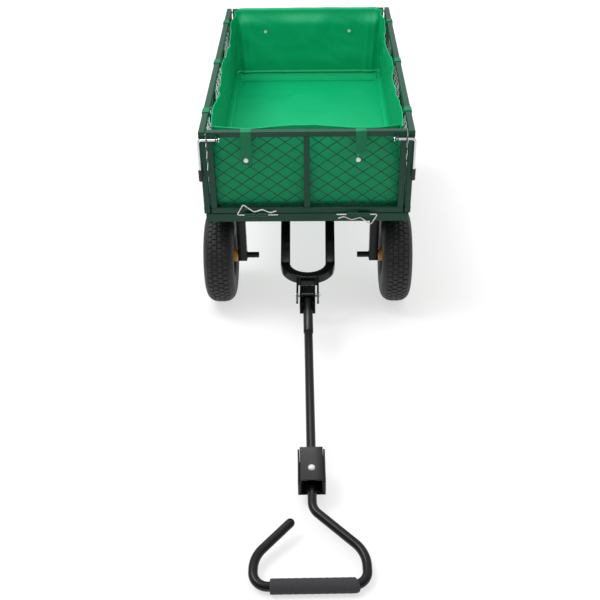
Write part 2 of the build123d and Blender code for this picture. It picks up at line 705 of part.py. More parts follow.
def wheels():
    """The tyre, rim and bearings of each wheel."""
    pieces = {}
    for end, y in (("front", FRONT_AXLE_Y), ("rear", REAR_AXLE_Y)):
        for name, shape in (("tyre", tyre(y)), ("rim", rim(y)), ("bearings", bearings(y))):
            pieces[f"{end}_right_{name}"] = shape
            pieces[f"{end}_left_{name}"] = mirrored(shape)
    return pieces


def hinge_clips():
    """The spring clips: one each for the front hinges, a pair for the rear, four for the sides."""
    clip = hinge_clip()
    right = at_end_hinge(clip, END_HINGE_X)
    left = at_end_hinge(Rot(0, 180, 0) * clip, -END_HINGE_X)
    rear_y = REAR + HINGE_OFFSET
    rear = [Pos(x, rear_y, SIDE_BOTTOM) * clip for x in (-END_HINGE_X, END_HINGE_X)]
    sides = []
    for x in (-SIDE_HINGE_X, SIDE_HINGE_X):
        for y in (FRONT + SIDE_HINGE_INSET, REAR - SIDE_HINGE_INSET):
            sides.append(Pos(x, y, SIDE_BOTTOM) * Rot(0, 0, -90) * clip)
    return {
        "front_right_clip": right,
        "front_left_clip": left,
        "rear_clips": Compound(rear),
        "side_clips": Compound(sides),
    }


def all_pieces():
    """Every named piece of the cart, in place."""
    pieces = {
        "deck_frame": deck_frame(),
        "deck_mesh": deck_mesh(),
        "turntable_top": turntable_top(),
        "kingpin": kingpin(),
        "liner_floor": liner_floor(),
        "rear_axle_frame": axle_frame(REAR_AXLE_Y, REAR_BEAM_BOTTOM),
        "rear_stub_axles": stub_axles(REAR_AXLE_Y),
        "rear_wheel_retainers": wheel_retainers(REAR_AXLE_Y),
        "front_axle_frame": front_axle_frame(),
        "front_stub_axles": stub_axles(FRONT_AXLE_Y),
        "front_wheel_retainers": wheel_retainers(FRONT_AXLE_Y),
        "turntable_bottom": turntable_bottom(),
        "drawbar_loop": drawbar_loop(),
        "drawbar_fork": drawbar_fork(),
        "drawbar_bolt": drawbar_bolt(),
        "handle_channel": handle_channel(),
        "handle_pole": handle_pole(),
        "hitch_box_inner": hitch_box_inner(),
        "hitch_box_outer": hitch_box_outer(),
        "hitch_bolt": hitch_bolt(),
        "d_handle_tube": d_handle_tube(),
        "foam_grip": foam_grip(),
    }
    pieces |= both_ends("side_frame", end_frame())
    pieces["front_side_mesh"] = end_meshes((0, 1))
    pieces["rear_side_mesh"] = turned_to_rear(end_meshes((1, 1)))
    front_wall = end_liner(FRONT_STRAPS, FRONT_STRAP_ENDS, FRONT_STUDS, FRONT_STUD_HEIGHT)
    rear_wall = end_liner(REAR_STRAPS, REAR_STRAP_ENDS, REAR_STUDS, REAR_STUD_HEIGHT, covers_rail=True)
    pieces["front_liner"] = front_wall
    pieces["rear_liner"] = turned_to_rear(rear_wall)
    pieces["front_liner_studs"] = liner_studs(FRONT_STUDS, FRONT_STUD_HEIGHT)
    pieces["rear_liner_studs"] = turned_to_rear(liner_studs(REAR_STUDS, REAR_STUD_HEIGHT))
    pieces |= both_sides("side_frame", side_frame())
    pieces |= both_sides("side_mesh", side_meshes())
    pieces |= both_sides("liner", side_liner())
    pieces |= latches("latch_rod", latch_rod())
    pieces |= latches("latch_tip", latch_tip())
    pieces |= wheels()
    pieces |= hinge_clips()
    return pieces


os.makedirs("parts", exist_ok=True)
for name, shape in all_pieces().items():
    export_step(shape, f"parts/{name}.step")
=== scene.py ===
import math

import bmesh
import bpy
from mathutils import Matrix, Vector, noise


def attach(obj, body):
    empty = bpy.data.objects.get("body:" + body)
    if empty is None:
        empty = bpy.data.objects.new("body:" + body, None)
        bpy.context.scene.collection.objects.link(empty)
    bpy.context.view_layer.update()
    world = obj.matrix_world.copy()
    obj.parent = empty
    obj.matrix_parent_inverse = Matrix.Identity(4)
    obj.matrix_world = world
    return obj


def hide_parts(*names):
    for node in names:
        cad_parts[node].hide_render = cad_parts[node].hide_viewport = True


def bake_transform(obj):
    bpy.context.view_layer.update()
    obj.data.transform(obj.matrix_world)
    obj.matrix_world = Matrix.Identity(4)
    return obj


# The looks of a steel garden cart with a fabric liner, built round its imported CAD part.
# Everything is in metres, with the front facing -Y, X to the right and Z up.

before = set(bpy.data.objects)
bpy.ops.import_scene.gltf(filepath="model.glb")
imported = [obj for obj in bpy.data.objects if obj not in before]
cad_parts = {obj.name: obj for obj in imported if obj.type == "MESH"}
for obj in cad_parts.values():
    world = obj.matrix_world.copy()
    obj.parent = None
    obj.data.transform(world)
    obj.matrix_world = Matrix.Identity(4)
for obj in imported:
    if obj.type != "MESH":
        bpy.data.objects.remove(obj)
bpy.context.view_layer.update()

# ---- Sizes --------------------------------------------------------------------------------------
FRONT = -0.017
REAR = 0.923
MIDDLE = (FRONT + REAR) / 2
HALF = 0.260
DECK_TOP = 0.323
DECK_BOTTOM = 0.299
DECK_RAIL = 0.020
SIDE_TOP = 0.551
SIDE_BOTTOM = 0.324
SIDE_TUBE = 0.015
SIDE_BAR = 0.0075
SIDE_HALF = 0.264
END_HALF = 0.245
TUBE_CORNER = 0.0022

FRONT_AXLE_Y = 0.090
REAR_AXLE_Y = 0.816
WHEEL_Z = 0.130
TRACK_HALF = 0.240
POST_OUTER = 0.194
POST_TUBE = 0.025
POST_BOTTOM = 0.117
FRONT_BEAM_BOTTOM = 0.243
REAR_BEAM_BOTTOM = 0.274
TURNTABLE_LOW = 0.288
AXLE_RADIUS = 0.008
PIN_X = 0.2775
HUB_INNER = 0.196
HUB_OUTER = 0.272
TYRE_HALF = 0.0405
SHOULDER_RADIUS = 0.092

DRAWBAR_HALF = 0.060
DRAWBAR_Y = 0.002
DRAWBAR_SLOPE = math.radians(38.5)
HINGE_Y = -0.136
HINGE_Z = 0.150
HANDLE_SLOPE = math.atan2(0.1342, 0.7931)
HANDLE_REACH = math.hypot(0.1342, 0.7931)
HANDLE_LEAN = math.radians(1.05)
D_TUBE_RADIUS = 0.00975
GRIP_RADIUS = 0.0155
BOX_BOLT = 0.548
BOX_START = 0.4935
BOX_END = 0.580
BOX_HALF = 0.025
BOX_TOP = 0.027
BOX_WALL = 0.003
GRIP_RIGHT = 0.1058
GRIP_LEFT = -0.1199
GRIP_CORNER = 0.030

WIRE_RADIUS = 0.0011
MESH_ACROSS = 0.041
MESH_UP = 0.0315
HINGE_OFFSET = 0.008
END_HINGE_X = 0.130
SIDE_HINGE_INSET = 0.230
KNUCKLE_LENGTH = 0.030
LATCH_Z = 0.535
LATCH_Y = FRONT - 0.012
LATCH_START = 0.214
LATCH_LEG_X = 0.264
LATCH_LEG_END = 0.428
LATCH_EARS = (0.2205, 0.243)
EAR_THICKNESS = 0.003

LINER_FLOOR = 0.3255
WALL_START = 0.3515
LINER_X = SIDE_HALF - SIDE_TUBE
LINER_Y0 = FRONT + SIDE_TUBE
LINER_Y1 = REAR - SIDE_TUBE
LINER_CORNER = 0.020
STRAP_HALF = 0.0135
END_STRAPS = {"front": (-0.148, 0.133), "rear": (-0.137, 0.137)}
STRAP_ENDS = {"front": (0.4635, 0.495), "rear": (0.469, 0.469)}
SIDE_STRAP_Y = (FRONT + 0.130, MIDDLE, REAR - 0.130)
STUDS = {"front": (-0.150, 0.1275), "rear": (-0.135, 0.140)}
STUD_Z = {"front": 0.4755, "rear": 0.481}
MESH_STARTS = {"front": (0, 1), "rear": (1, 1)}
FLAP_HALF = 0.206

X_AXIS = Vector((1, 0, 0))
Y_AXIS = Vector((0, 1, 0))
Z_AXIS = Vector((0, 0, 1))
SAME = Matrix.Identity(4)
MIRROR = Matrix.Diagonal((-1, 1, 1, 1))
REARWARD = Matrix.Translation((0, 2 * MIDDLE, 0)) @ Matrix.Rotation(math.pi, 4, "Z")
TIPPED = Matrix.Translation((0, HINGE_Y, HINGE_Z)) @ Matrix.Rotation(HANDLE_SLOPE, 4, "X")
LEANED = Matrix.Rotation(HANDLE_LEAN, 4, "Z")
HANDLE_PLACE = TIPPED @ LEANED
CORNERS = {
    "front_right": SAME,
    "front_left": MIRROR,
    "rear_left": REARWARD,
    "rear_right": REARWARD @ MIRROR,
}


# ---- Materials ----------------------------------------------------------------------------------
def colour(red, green, blue):
    """An sRGB colour of 0 to 255 as the linear colour that a shader takes."""
    return [*(((c / 255 + 0.055) / 1.055) ** 2.4 if c > 10 else c / 3295 for c in (red, green, blue)), 1]


def node(tree, kind, **settings):
    """Adds a node and sets its properties."""
    made = tree.nodes.new(kind)
    for name, value in settings.items():
        setattr(made, name, value)
    return made


def noise_node(tree, where, scale, detail):
    """A noise texture over the piece's own coordinates."""
    made = node(tree, "ShaderNodeTexNoise")
    made.inputs["Scale"].default_value = scale
    made.inputs["Detail"].default_value = detail
    tree.links.new(where.outputs["Object"], made.inputs["Vector"])
    return made


def ranged(tree, value, low, high, to_low, to_high):
    """A value mapped from one range onto another."""
    made = node(tree, "ShaderNodeMapRange")
    made.inputs["From Min"].default_value = low
    made.inputs["From Max"].default_value = high
    made.inputs["To Min"].default_value = to_low
    made.inputs["To Max"].default_value = to_high
    tree.links.new(value, made.inputs["Value"])
    return made.outputs["Result"]


def surface(name, light, dark, rough, patch=30, grain=700, relief=0.0001, spread=0.12, **inputs):
    """A finish whose colour and gloss drift in patches, with a fine grain on its surface."""
    made = bpy.data.materials.new(name)
    made.use_nodes = True
    tree = made.node_tree
    shader = tree.nodes["Principled BSDF"]
    where = node(tree, "ShaderNodeTexCoord")
    patches = noise_node(tree, where, patch, 5)
    mixed = node(tree, "ShaderNodeMix", data_type="RGBA")
    mixed.inputs["A"].default_value = colour(*dark)
    mixed.inputs["B"].default_value = colour(*light)
    tree.links.new(patches.outputs["Fac"], mixed.inputs["Factor"])
    tree.links.new(mixed.outputs["Result"], shader.inputs["Base Color"])
    low, high = rough * (1 - spread), rough * (1 + spread)
    gloss = ranged(tree, patches.outputs["Fac"], 0.3, 0.7, low, high)
    tree.links.new(gloss, shader.inputs["Roughness"])
    fine = noise_node(tree, where, grain, 3)
    bump = node(tree, "ShaderNodeBump")
    bump.inputs["Strength"].default_value = 0.5
    bump.inputs["Distance"].default_value = relief
    tree.links.new(fine.outputs["Fac"], bump.inputs["Height"])
    tree.links.new(bump.outputs["Normal"], shader.inputs["Normal"])
    for key, value in inputs.items():
        shader.inputs[key.replace("_", " ")].default_value = value
    return made


def woven(made, pitch, relief):
    """Adds the ribs of a fine weave under the grain of a finish."""
    tree = made.node_tree
    where = next(n for n in tree.nodes if n.type == "TEX_COORD")
    grain = next(n for n in tree.nodes if n.type == "BUMP")
    heights = []
    for direction in ("X", "Y", "Z"):
        ribs = node(tree, "ShaderNodeTexWave", bands_direction=direction)
        ribs.inputs["Scale"].default_value = 0.314 / pitch
        ribs.inputs["Distortion"].default_value = 0.6
        tree.links.new(where.outputs["Object"], ribs.inputs["Vector"])
        heights.append(ribs.outputs["Fac"])
    total = heights[0]
    for height in heights[1:]:
        added = node(tree, "ShaderNodeMath", operation="ADD")
        tree.links.new(total, added.inputs[0])
        tree.links.new(height, added.inputs[1])
        total = added.outputs["Value"]
    weave = node(tree, "ShaderNodeBump")
    weave.inputs["Strength"].default_value = 0.3
    weave.inputs["Distance"].default_value = relief
    tree.links.new(total, weave.inputs["Height"])
    tree.links.new(weave.outputs["Normal"], grain.inputs["Normal"])
    return made


SHEEN = {"Specular_IOR_Level": 0.25}
green = surface("green_powder_coat", (23, 68, 52), (19, 61, 46), 0.33, patch=18, relief=0.00012, **SHEEN)
black = surface("black_gloss_paint", (14, 14, 16), (10, 10, 11), 0.25, patch=14, grain=500, **SHEEN)
amber = surface("yellow_enamel", (226, 158, 12), (206, 140, 8), 0.35, patch=22)
tyre_rubber = surface("tyre_rubber", (22, 22, 24), (15, 15, 17), 0.58, patch=45, grain=420, relief=0.0004)
black_rubber = surface("black_rubber", (26, 26, 27), (17, 17, 18), 0.5, patch=60, relief=0.0002)
foam = surface("black_foam", (62, 60, 65), (46, 45, 49), 0.88, patch=160, grain=900, relief=0.0008)
chrome = surface("chrome_plate", (222, 224, 228), (196, 199, 204), 0.14, patch=70, grain=1200, Metallic=1)
zinc = surface("zinc_plate", (236, 237, 234), (212, 214, 213), 0.36, patch=120, grain=900, Metallic=0.4)
steel = surface("bearing_steel", (150, 152, 155), (120, 122, 126), 0.33, patch=90, Metallic=1)
fabric_look = {"patch": 9, "grain": 240, "relief": 0.0006, **SHEEN}
fabric = surface("liner_fabric", (0, 160, 104), (0, 152, 96), 0.46, **fabric_look)
webbing_look = {"patch": 30, "grain": 300, "relief": 0.0005, **SHEEN}
webbing = surface("strap_fabric", (0, 112, 72), (0, 100, 64), 0.48, **webbing_look)
woven(fabric, 0.0011, 0.00012)
FINISHES = {
    "green_paint": green,
    "black_paint": black,
    "yellow_paint": amber,
    "tyre_rubber": tyre_rubber,
    "black_rubber": black_rubber,
    "black_foam": foam,
    "chrome_plate": chrome,
    "zinc_plate": zinc,
    "bearing_steel": steel,
    "liner_fabric": fabric,
    "strap_fabric": webbing,
}


# ---- Building shapes ----------------------------------------------------------------------------
def facing(origin, direction, side=None):
    """A place at origin whose Z points along direction, and whose X leans towards side."""
    z = Vector(direction).normalized()
    x = Vector(side) if side else z.orthogonal()
    x = (x - z * x.dot(z)).normalized()
    place = Matrix((x, z.cross(x), z)).transposed().to_4x4()
    place.translation = Vector(origin)
    return place


def corner(back, here, ahead, radius, steps):
    """Points of an arc that rounds the corner at here, between its two neighbours."""
    inward = (back - here).angle(ahead - here)
    reach = radius / math.tan(inward / 2)
    reach = min(reach, 0.495 * (back - here).length, 0.495 * (ahead - here).length)
    start = here + (back - here).normalized() * reach
    end = here + (ahead - here).normalized() * reach
    weight = math.sin(inward / 2)
    points = []
    for i in range(steps + 1):
        t = i / steps
        a, b, c = (1 - t) ** 2, 2 * weight * t * (1 - t), t * t
        points.append((start * a + here * b + end * c) / (a + b + c))
    return points


def rounded(points, radius, steps=4):
    """A closed outline with rounded corners."""
    points = [Vector(p) for p in points]
    made = []
    for i, here in enumerate(points):
        made += corner(points[i - 1], here, points[(i + 1) % len(points)], radius, steps)
    return made


def bent(points, radii, steps=8):
    """An open line through points, with an arc of its own radius at each corner."""
    points = [Vector(p) for p in points]
    made = [points[0]]
    for i, radius in enumerate(radii):
        made += corner(points[i], points[i + 1], points[i + 2], radius, steps)
    return [*made, points[-1]]


def rectangle(x0, y0, x1, y1):
    """An oblong outline between two corners, anticlockwise."""
    return [(x0, y0), (x1, y0), (x1, y1), (x0, y1)]


def circle(radius, steps=24):
    """A round outline."""
    turns = [2 * math.pi * i / steps for i in range(steps)]
    return [Vector((radius * math.cos(a), radius * math.sin(a))) for a in turns]


def skin(bm, rings, capped=True, looped=False):
    """Joins rings of points into a surface, with a face over each end unless it is looped."""
    made = [[bm.verts.new(p) for p in ring] for ring in rings]
    pairs = list(zip(made, made[1:]))
    if looped:
        pairs.append((made[-1], made[0]))
    for low, high in pairs:
        for i in range(len(low)):
            j = (i + 1) % len(low)
            bm.faces.new((low[i], low[j], high[j], high[i]))
    if capped and not looped:
        bm.faces.new(made[0][::-1])
        bm.faces.new(made[-1])


def shrunk(outline, by):
    """An outline moved inwards by a small distance."""
    made = []
    for i, here in enumerate(outline):
        tangent = outline[(i + 1) % len(outline)] - outline[i - 1]
        outward = Vector((tangent.y, -tangent.x)).normalized()
        made.append(here - outward * by)
    return made


def prism(bm, place, outline, depth, bevel=0.0005):
    """An outline in XY, listed anticlockwise, carried along Z by depth, with bevelled ends."""
    inner = shrunk(outline, bevel)
    levels = [(inner, 0), (outline, bevel), (outline, depth - bevel), (inner, depth)]
    skin(bm, [[place @ Vector((p.x, p.y, z)) for p in ring] for ring, z in levels])


def lathe(bm, place, profile, steps=48, looped=False):
    """A profile of distance along Z and radius, turned about Z."""
    rings = [[place @ Vector((p.x, p.y, z)) for p in circle(r, steps)] for z, r in profile]
    skin(bm, rings, looped=looped)


def swept(bm, path, outline, first_side=None, sizes=None):
    """An outline carried along a path without twisting; sizes scale it at each point."""
    side = Vector(first_side) if first_side else (path[1] - path[0]).orthogonal()
    rings = []
    for i, here in enumerate(path):
        ahead = (path[min(i + 1, len(path) - 1)] - path[max(i - 1, 0)]).normalized()
        side = (side - ahead * side.dot(ahead)).normalized()
        up = ahead.cross(side)
        size = sizes[i] if sizes else 1
        rings.append([here + (side * p.x + up * p.y) * size for p in outline])
    skin(bm, rings)


def rod(bm, path, radius, sides=14, round_ends=False):
    """A round bar along a path, with slightly bevelled or fully rounded ends."""
    first = (path[0] - path[1]).normalized()
    last = (path[-1] - path[-2]).normalized()
    reach = radius if round_ends else 0.12 * radius
    caps = [(math.sin(a), math.cos(a)) for a in (0.4, 0.8, 1.2, 1.5)]
    start = [path[0] + first * reach * s for s, c in reversed(caps)]
    end = [path[-1] + last * reach * s for s, c in caps]
    shrink = [c if round_ends else 1 - 0.12 * s for s, c in caps]
    sizes = [*shrink[::-1], *[1] * len(path), *shrink]
    swept(bm, [*start, *path, *end], circle(radius, sides), sizes=sizes)


def bar(bm, x0, x1, y0, y1, z0, z1, radius=TUBE_CORNER):
    """A square tube between two corners, rounded along its length."""
    low, high = Vector((x0, y0, z0)), Vector((x1, y1, z1))
    size = high - low
    axes = (X_AXIS, Y_AXIS, Z_AXIS)
    along = max(range(3), key=lambda i: size[i])
    side = (along + 1) % 3
    half_a, half_b = size[side] / 2, size[(along + 2) % 3] / 2
    outline = rounded(rectangle(-half_a, -half_b, half_a, half_b), radius)
    origin = (low + high) / 2 - axes[along] * size[along] / 2
    prism(bm, facing(origin, axes[along], axes[side]), outline, size[along])


def bead(bm, start, end, radius=0.0016):
    """A weld bead between two points, with the ripples of a hand weld."""
    start, end = Vector(start), Vector(end)
    count = max(4, round((end - start).length / 0.0016))
    path = [start.lerp(end, i / count) for i in range(count + 1)]
    sizes = []
    for i, point in enumerate(path):
        ripple = 1 + 0.16 * math.sin(i * 2.2) + 0.2 * noise.noise(point * 300)
        sizes.append(ripple * (0.55 if i in (0, count) else 1))
    swept(bm, path, circle(radius, 8), sizes=sizes)


def ring_bead(bm, ring, radius):
    """A weld bead round a closed ring of points."""
    for a, b in zip(ring, ring[1:] + ring[:1]):
        bead(bm, a, b, radius)


def placed(name, data):
    """A new object in the scene that shows a mesh, light or camera."""
    made = bpy.data.objects.new(name, data)
    bpy.context.scene.collection.objects.link(made)
    return made


def piece(name, bm, finish, body, nodes=(), turn=SAME, sharp=38):
    """Turns what was built into a named piece that rides on a body and stands for CAD nodes."""
    bmesh.ops.transform(bm, matrix=turn, verts=bm.verts)
    bmesh.ops.recalc_face_normals(bm, faces=bm.faces)
    mesh = bpy.data.meshes.new(name)
    bm.to_mesh(mesh)
    bm.free()
    mesh.shade_smooth()
    mesh.set_sharp_from_angle(angle=math.radians(sharp))
    mesh.materials.append(FINISHES[finish])
    made = placed(name, mesh)
    if body:
        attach(made, body)
    if nodes:
        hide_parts(*nodes)
    return made


def wires(bm, origin, across, up, width, height, start=0):
    """Crossing wires of a diamond mesh that fills a field; start 1 moves them by half a diamond."""
    columns, rows = round(width / MESH_ACROSS), round(height / MESH_UP)
    shift = 0 if start else 0.5
    lines = []
    for n in range(start, columns + rows):
        k = n + shift
        lines.append(((max(0, k - rows), min(k, rows)), (min(k, columns), max(0, k - columns)), 1))
        k = k - rows
        lines.append(((max(0, k), max(0, -k)), (min(columns, k + rows), min(rows, columns - k)), -1))
    through = across.cross(up)
    for low, high, layer in lines:
        ends = []
        for u, v in (low, high):
            spot = across * (u * width / columns) + up * (v * height / rows)
            ends.append(Vector(origin) + spot + through * (layer * 0.0006))
        along = (ends[1] - ends[0]).normalized() * 0.002
        swept(bm, [ends[0] - along, ends[1] + along], circle(WIRE_RADIUS, 8))


# ---- Hinges, clips and latches ------------------------------------------------------------------
def knuckle(bm, place, along, on_side):
    """A hinge tube along X at a place, with its tab: on the side's rail above, or the deck's."""
    start = place @ Vector((along, 0, 0))
    direction = place.to_3x3() @ X_AXIS
    profile = [(0, 0.0021), (0.0006, 0.0045), (0.0012, 0.005)]
    profile += [(KNUCKLE_LENGTH - d, r) for d, r in reversed(profile)]
    lathe(bm, facing(start, direction), profile, 20)
    low, high = (0.0018, 0.005) if on_side else (-0.005, -0.0018)
    outline = rounded(rectangle(0, low, HINGE_OFFSET, high), 0.0008, 3)
    side = place.to_3x3() @ Y_AXIS
    prism(bm, facing(start, direction, side), outline, KNUCKLE_LENGTH)
    edge = place @ Vector((along, HINGE_OFFSET, high if on_side else low))
    bead(bm, edge, edge + direction * KNUCKLE_LENGTH, 0.0013)


def end_hinge(x):
    """The place of a hinge at the front of the deck."""
    return Matrix.Translation((x, FRONT - HINGE_OFFSET, SIDE_BOTTOM))


def side_hinge(y):
    """The place of a hinge on the right of the deck."""
    turn = Matrix.Rotation(math.pi / 2, 4, "Z")
    return Matrix.Translation((SIDE_HALF + HINGE_OFFSET, y, SIDE_BOTTOM)) @ turn


def end_knuckles(bm, on_side):
    """The front pair of hinge tubes, on the side or facing it on the deck."""
    along = -KNUCKLE_LENGTH if on_side else 0.0005
    knuckle(bm, end_hinge(END_HINGE_X), along, on_side)
    knuckle(bm, end_hinge(-END_HINGE_X), -along - KNUCKLE_LENGTH, on_side)


def side_knuckles(bm, on_side):
    """The right-hand pair of hinge tubes."""
    along = -KNUCKLE_LENGTH if on_side else 0.0005
    for y in (FRONT + SIDE_HINGE_INSET, REAR - SIDE_HINGE_INSET):
        knuckle(bm, side_hinge(y), along, on_side)


def clip(bm, place):
    """A spring clip: a straight leg through the hinge tubes and a waved leg that hangs."""
    points = [(-0.054, 0, 0), (0.050, 0, 0), (0.033, 0, -0.030), (0.006, 0, -0.0085)]
    points += [(-0.016, 0, -0.0155), (-0.036, 0, -0.0061), (-0.050, 0, -0.011)]
    path = bent([place @ Vector(p) for p in points], [0.0035, 0.004, 0.008, 0.008, 0.006])
    rod(bm, path, 0.0015, 10, True)


def latch_bracket(bm, side):
    """Two ears on a backing plate on the end side's top rail; side is 1 for the right."""
    outline = rounded(rectangle(-0.008, 0, 0.008, 0.002), 0.0005, 2)
    first, last = LATCH_EARS
    length = last - first + EAR_THICKNESS
    start = side * (first + last) / 2 - length / 2
    prism(bm, facing((start, FRONT, LATCH_Z), X_AXIS, Z_AXIS), outline, length)
    for x in LATCH_EARS:
        ear = [(-0.007, 0), (0.007, 0), (0.007, 0.012)]
        for a in (0.5, 1.05, 1.57, 2.1, 2.64):
            ear.append((0.007 * math.cos(a), 0.012 + 0.007 * math.sin(a)))
        ear = rounded([*ear, (-0.007, 0.012)], 0.0006, 2)
        place = facing((side * x - EAR_THICKNESS / 2, FRONT, LATCH_Z), X_AXIS, Z_AXIS)
        prism(bm, place, ear, EAR_THICKNESS)


def latch(corner_name):
    """A latch: a bent rod with a flared end in the bracket, and a rubber sleeve on its leg."""
    turn = CORNERS[corner_name]
    bm = bmesh.new()
    points = [(LATCH_START, LATCH_Y, LATCH_Z), (LATCH_LEG_X, LATCH_Y, LATCH_Z)]
    points.append((LATCH_LEG_X, LATCH_Y, LATCH_LEG_END))
    rod(bm, bent(points, [0.009]), 0.003, 16)
    head = [(0, 0.0046), (0.0005, 0.0059), (0.0019, 0.0063), (0.0040, 0.0046), (0.006, 0.003)]
    lathe(bm, facing((LATCH_START - 0.003, LATCH_Y, LATCH_Z), X_AXIS), head, 24)
    body = f"{corner_name}_latch"
    piece(f"{corner_name}_latch_bar", bm, "chrome_plate", body, [f"{corner_name}_latch_rod"], turn)
    bm = bmesh.new()
    sleeve = [(0, 0.0032), (0.0006, 0.0046), (0.0020, 0.0052), (0.0295, 0.0052), (0.0305, 0.0048)]
    sleeve.append((0.031, 0.0033))
    lathe(bm, facing((LATCH_LEG_X, LATCH_Y, LATCH_LEG_END - 0.004), Z_AXIS), sleeve, 24)
    piece(f"{corner_name}_latch_sleeve", bm, "black_rubber", body, [f"{corner_name}_latch_tip"], turn)


# ---- Deck and folding sides ---------------------------------------------------------------------
def build_deck():
    """The deck's rails, cross tubes, hinge tubes and welds, and the mesh they carry."""
    bm = bmesh.new()
    inner = HALF - DECK_RAIL
    for y in (FRONT, REAR - DECK_RAIL):
        bar(bm, -HALF, HALF, y, y + DECK_RAIL, DECK_BOTTOM, DECK_TOP)
    for x in (-HALF, inner):
        bar(bm, x, x + DECK_RAIL, FRONT + 0.018, REAR - 0.018, DECK_BOTTOM, DECK_TOP)
    cross = [FRONT_AXLE_Y - 0.060, FRONT_AXLE_Y + 0.060, MIDDLE + 0.030, REAR_AXLE_Y]
    half = POST_TUBE / 2
    for y in cross:
        bar(bm, -inner - 0.001, inner + 0.001, y - half, y + half, DECK_BOTTOM, DECK_TOP - 0.003)
        for x in (-inner, inner):
            bead(bm, (x, y - half, DECK_BOTTOM), (x, y + half, DECK_BOTTOM))
            bead(bm, (x, y - half, DECK_BOTTOM), (x, y - half, DECK_TOP - 0.003))
            bead(bm, (x, y + half, DECK_BOTTOM), (x, y + half, DECK_TOP - 0.003))
    for x in (-inner, inner):
        for y in (FRONT + DECK_RAIL, REAR - DECK_RAIL):
            bead(bm, (x, y, DECK_BOTTOM), (x, y, DECK_TOP - 0.001))
            bead(bm, (x, y, DECK_BOTTOM), (math.copysign(HALF, x), y, DECK_BOTTOM))
    end_knuckles(bm, False)
    side_knuckles(bm, False)
    for name, build, turn in (("rear", end_knuckles, REARWARD), ("left", side_knuckles, MIRROR)):
        twins = bmesh.new()
        build(twins, False)
        piece(f"deck_{name}_hinge_tubes", twins, "green_paint", "chassis", turn=turn)
    piece("deck_tubes", bm, "green_paint", "chassis", ["deck_frame"])
    bm = bmesh.new()
    origin = (-inner, FRONT + DECK_RAIL, DECK_TOP - 0.0015)
    wires(bm, origin, X_AXIS, Y_AXIS, 2 * inner, REAR - FRONT - 2 * DECK_RAIL)
    piece("deck_wires", bm, "green_paint", "chassis", ["deck_mesh"])


def panel_welds(bm, place, uprights, low, high, depth):
    """Beads where upright bars meet the rails, on both faces; place maps along, depth and up."""
    for x0, x1 in uprights:
        for z in (low, high):
            for y in (0.0006, depth - 0.0006):
                bead(bm, place @ Vector((x0, y, z)), place @ Vector((x1, y, z)), 0.0014)


def build_end(end):
    """The front or rear side: rails, posts, middle bar, hinge tubes, latch brackets and mesh."""
    turn = SAME if end == "front" else REARWARD
    body = f"{end}_side"
    low, high = SIDE_BOTTOM + SIDE_TUBE, SIDE_TOP - SIDE_TUBE
    back = FRONT + SIDE_TUBE
    post = END_HALF - SIDE_TUBE
    bm = bmesh.new()
    bar(bm, -END_HALF, END_HALF, FRONT, back, SIDE_BOTTOM, low)
    bar(bm, -END_HALF, END_HALF, FRONT, back, high, SIDE_TOP)
    for x in (-END_HALF, post):
        bar(bm, x, x + SIDE_TUBE, FRONT + 0.0002, back - 0.0002, low - 0.002, high + 0.002)
    bar(bm, -SIDE_BAR, SIDE_BAR, FRONT + 0.0015, back - 0.0015, low - 0.002, high + 0.002)
    uprights = [(-END_HALF, -post), (-SIDE_BAR, SIDE_BAR), (post, END_HALF)]
    panel_welds(bm, Matrix.Translation((0, FRONT, 0)), uprights, low, high, SIDE_TUBE)
    end_knuckles(bm, True)
    latch_bracket(bm, 1)
    latch_bracket(bm, -1)
    piece(f"{end}_side_tubes", bm, "green_paint", body, [f"{end}_side_frame"], turn)
    bm = bmesh.new()
    for x, start in zip((-post, SIDE_BAR), MESH_STARTS[end]):
        origin = (x, FRONT + SIDE_TUBE / 2, low)
        wires(bm, origin, X_AXIS, Z_AXIS, post - SIDE_BAR, high - low, start)
    piece(f"{end}_side_wires", bm, "green_paint", body, [f"{end}_side_mesh"], turn)


def build_side(side):
    """The left or right side: rails, posts, two upright bars, hinge tubes and mesh."""
    turn = SAME if side == "right" else MIRROR
    body = f"{side}_side"
    inner = SIDE_HALF - SIDE_TUBE
    low, high = SIDE_BOTTOM + SIDE_TUBE, SIDE_TOP - SIDE_TUBE
    bm = bmesh.new()
    bar(bm, inner, SIDE_HALF, FRONT, REAR, SIDE_BOTTOM, low)
    bar(bm, inner, SIDE_HALF, FRONT, REAR, high, SIDE_TOP)
    for y in (FRONT, REAR - SIDE_TUBE):
        bar(bm, inner + 0.0002, SIDE_HALF - 0.0002, y, y + SIDE_TUBE, low - 0.002, high + 0.002)
    third = (REAR - FRONT) / 3
    middles = [FRONT + third, FRONT + 2 * third]
    for y in middles:
        bar(bm, inner + 0.0015, SIDE_HALF - 0.0015, y - SIDE_BAR, y + SIDE_BAR, low - 0.002, high + 0.002)
    uprights = [(FRONT, FRONT + SIDE_TUBE), (REAR - SIDE_TUBE, REAR)]
    uprights += [(y - SIDE_BAR, y + SIDE_BAR) for y in middles]
    place = Matrix.Translation((SIDE_HALF, 0, 0)) @ Matrix.Rotation(math.pi / 2, 4, "Z")
    panel_welds(bm, place, uprights, low, high, SIDE_TUBE)
    side_knuckles(bm, True)
    piece(f"{side}_side_tubes", bm, "green_paint", body, [f"{side}_side_frame"], turn)
    bm = bmesh.new()
    edges = [FRONT + SIDE_TUBE]
    for y in middles:
        edges += [y - SIDE_BAR, y + SIDE_BAR]
    edges.append(REAR - SIDE_TUBE)
    for y0, y1 in zip(edges[0::2], edges[1::2]):
        wires(bm, (SIDE_HALF - SIDE_TUBE / 2, y0, low), Y_AXIS, Z_AXIS, y1 - y0, high - low)
    piece(f"{side}_side_wires", bm, "green_paint", body, [f"{side}_side_mesh"], turn)


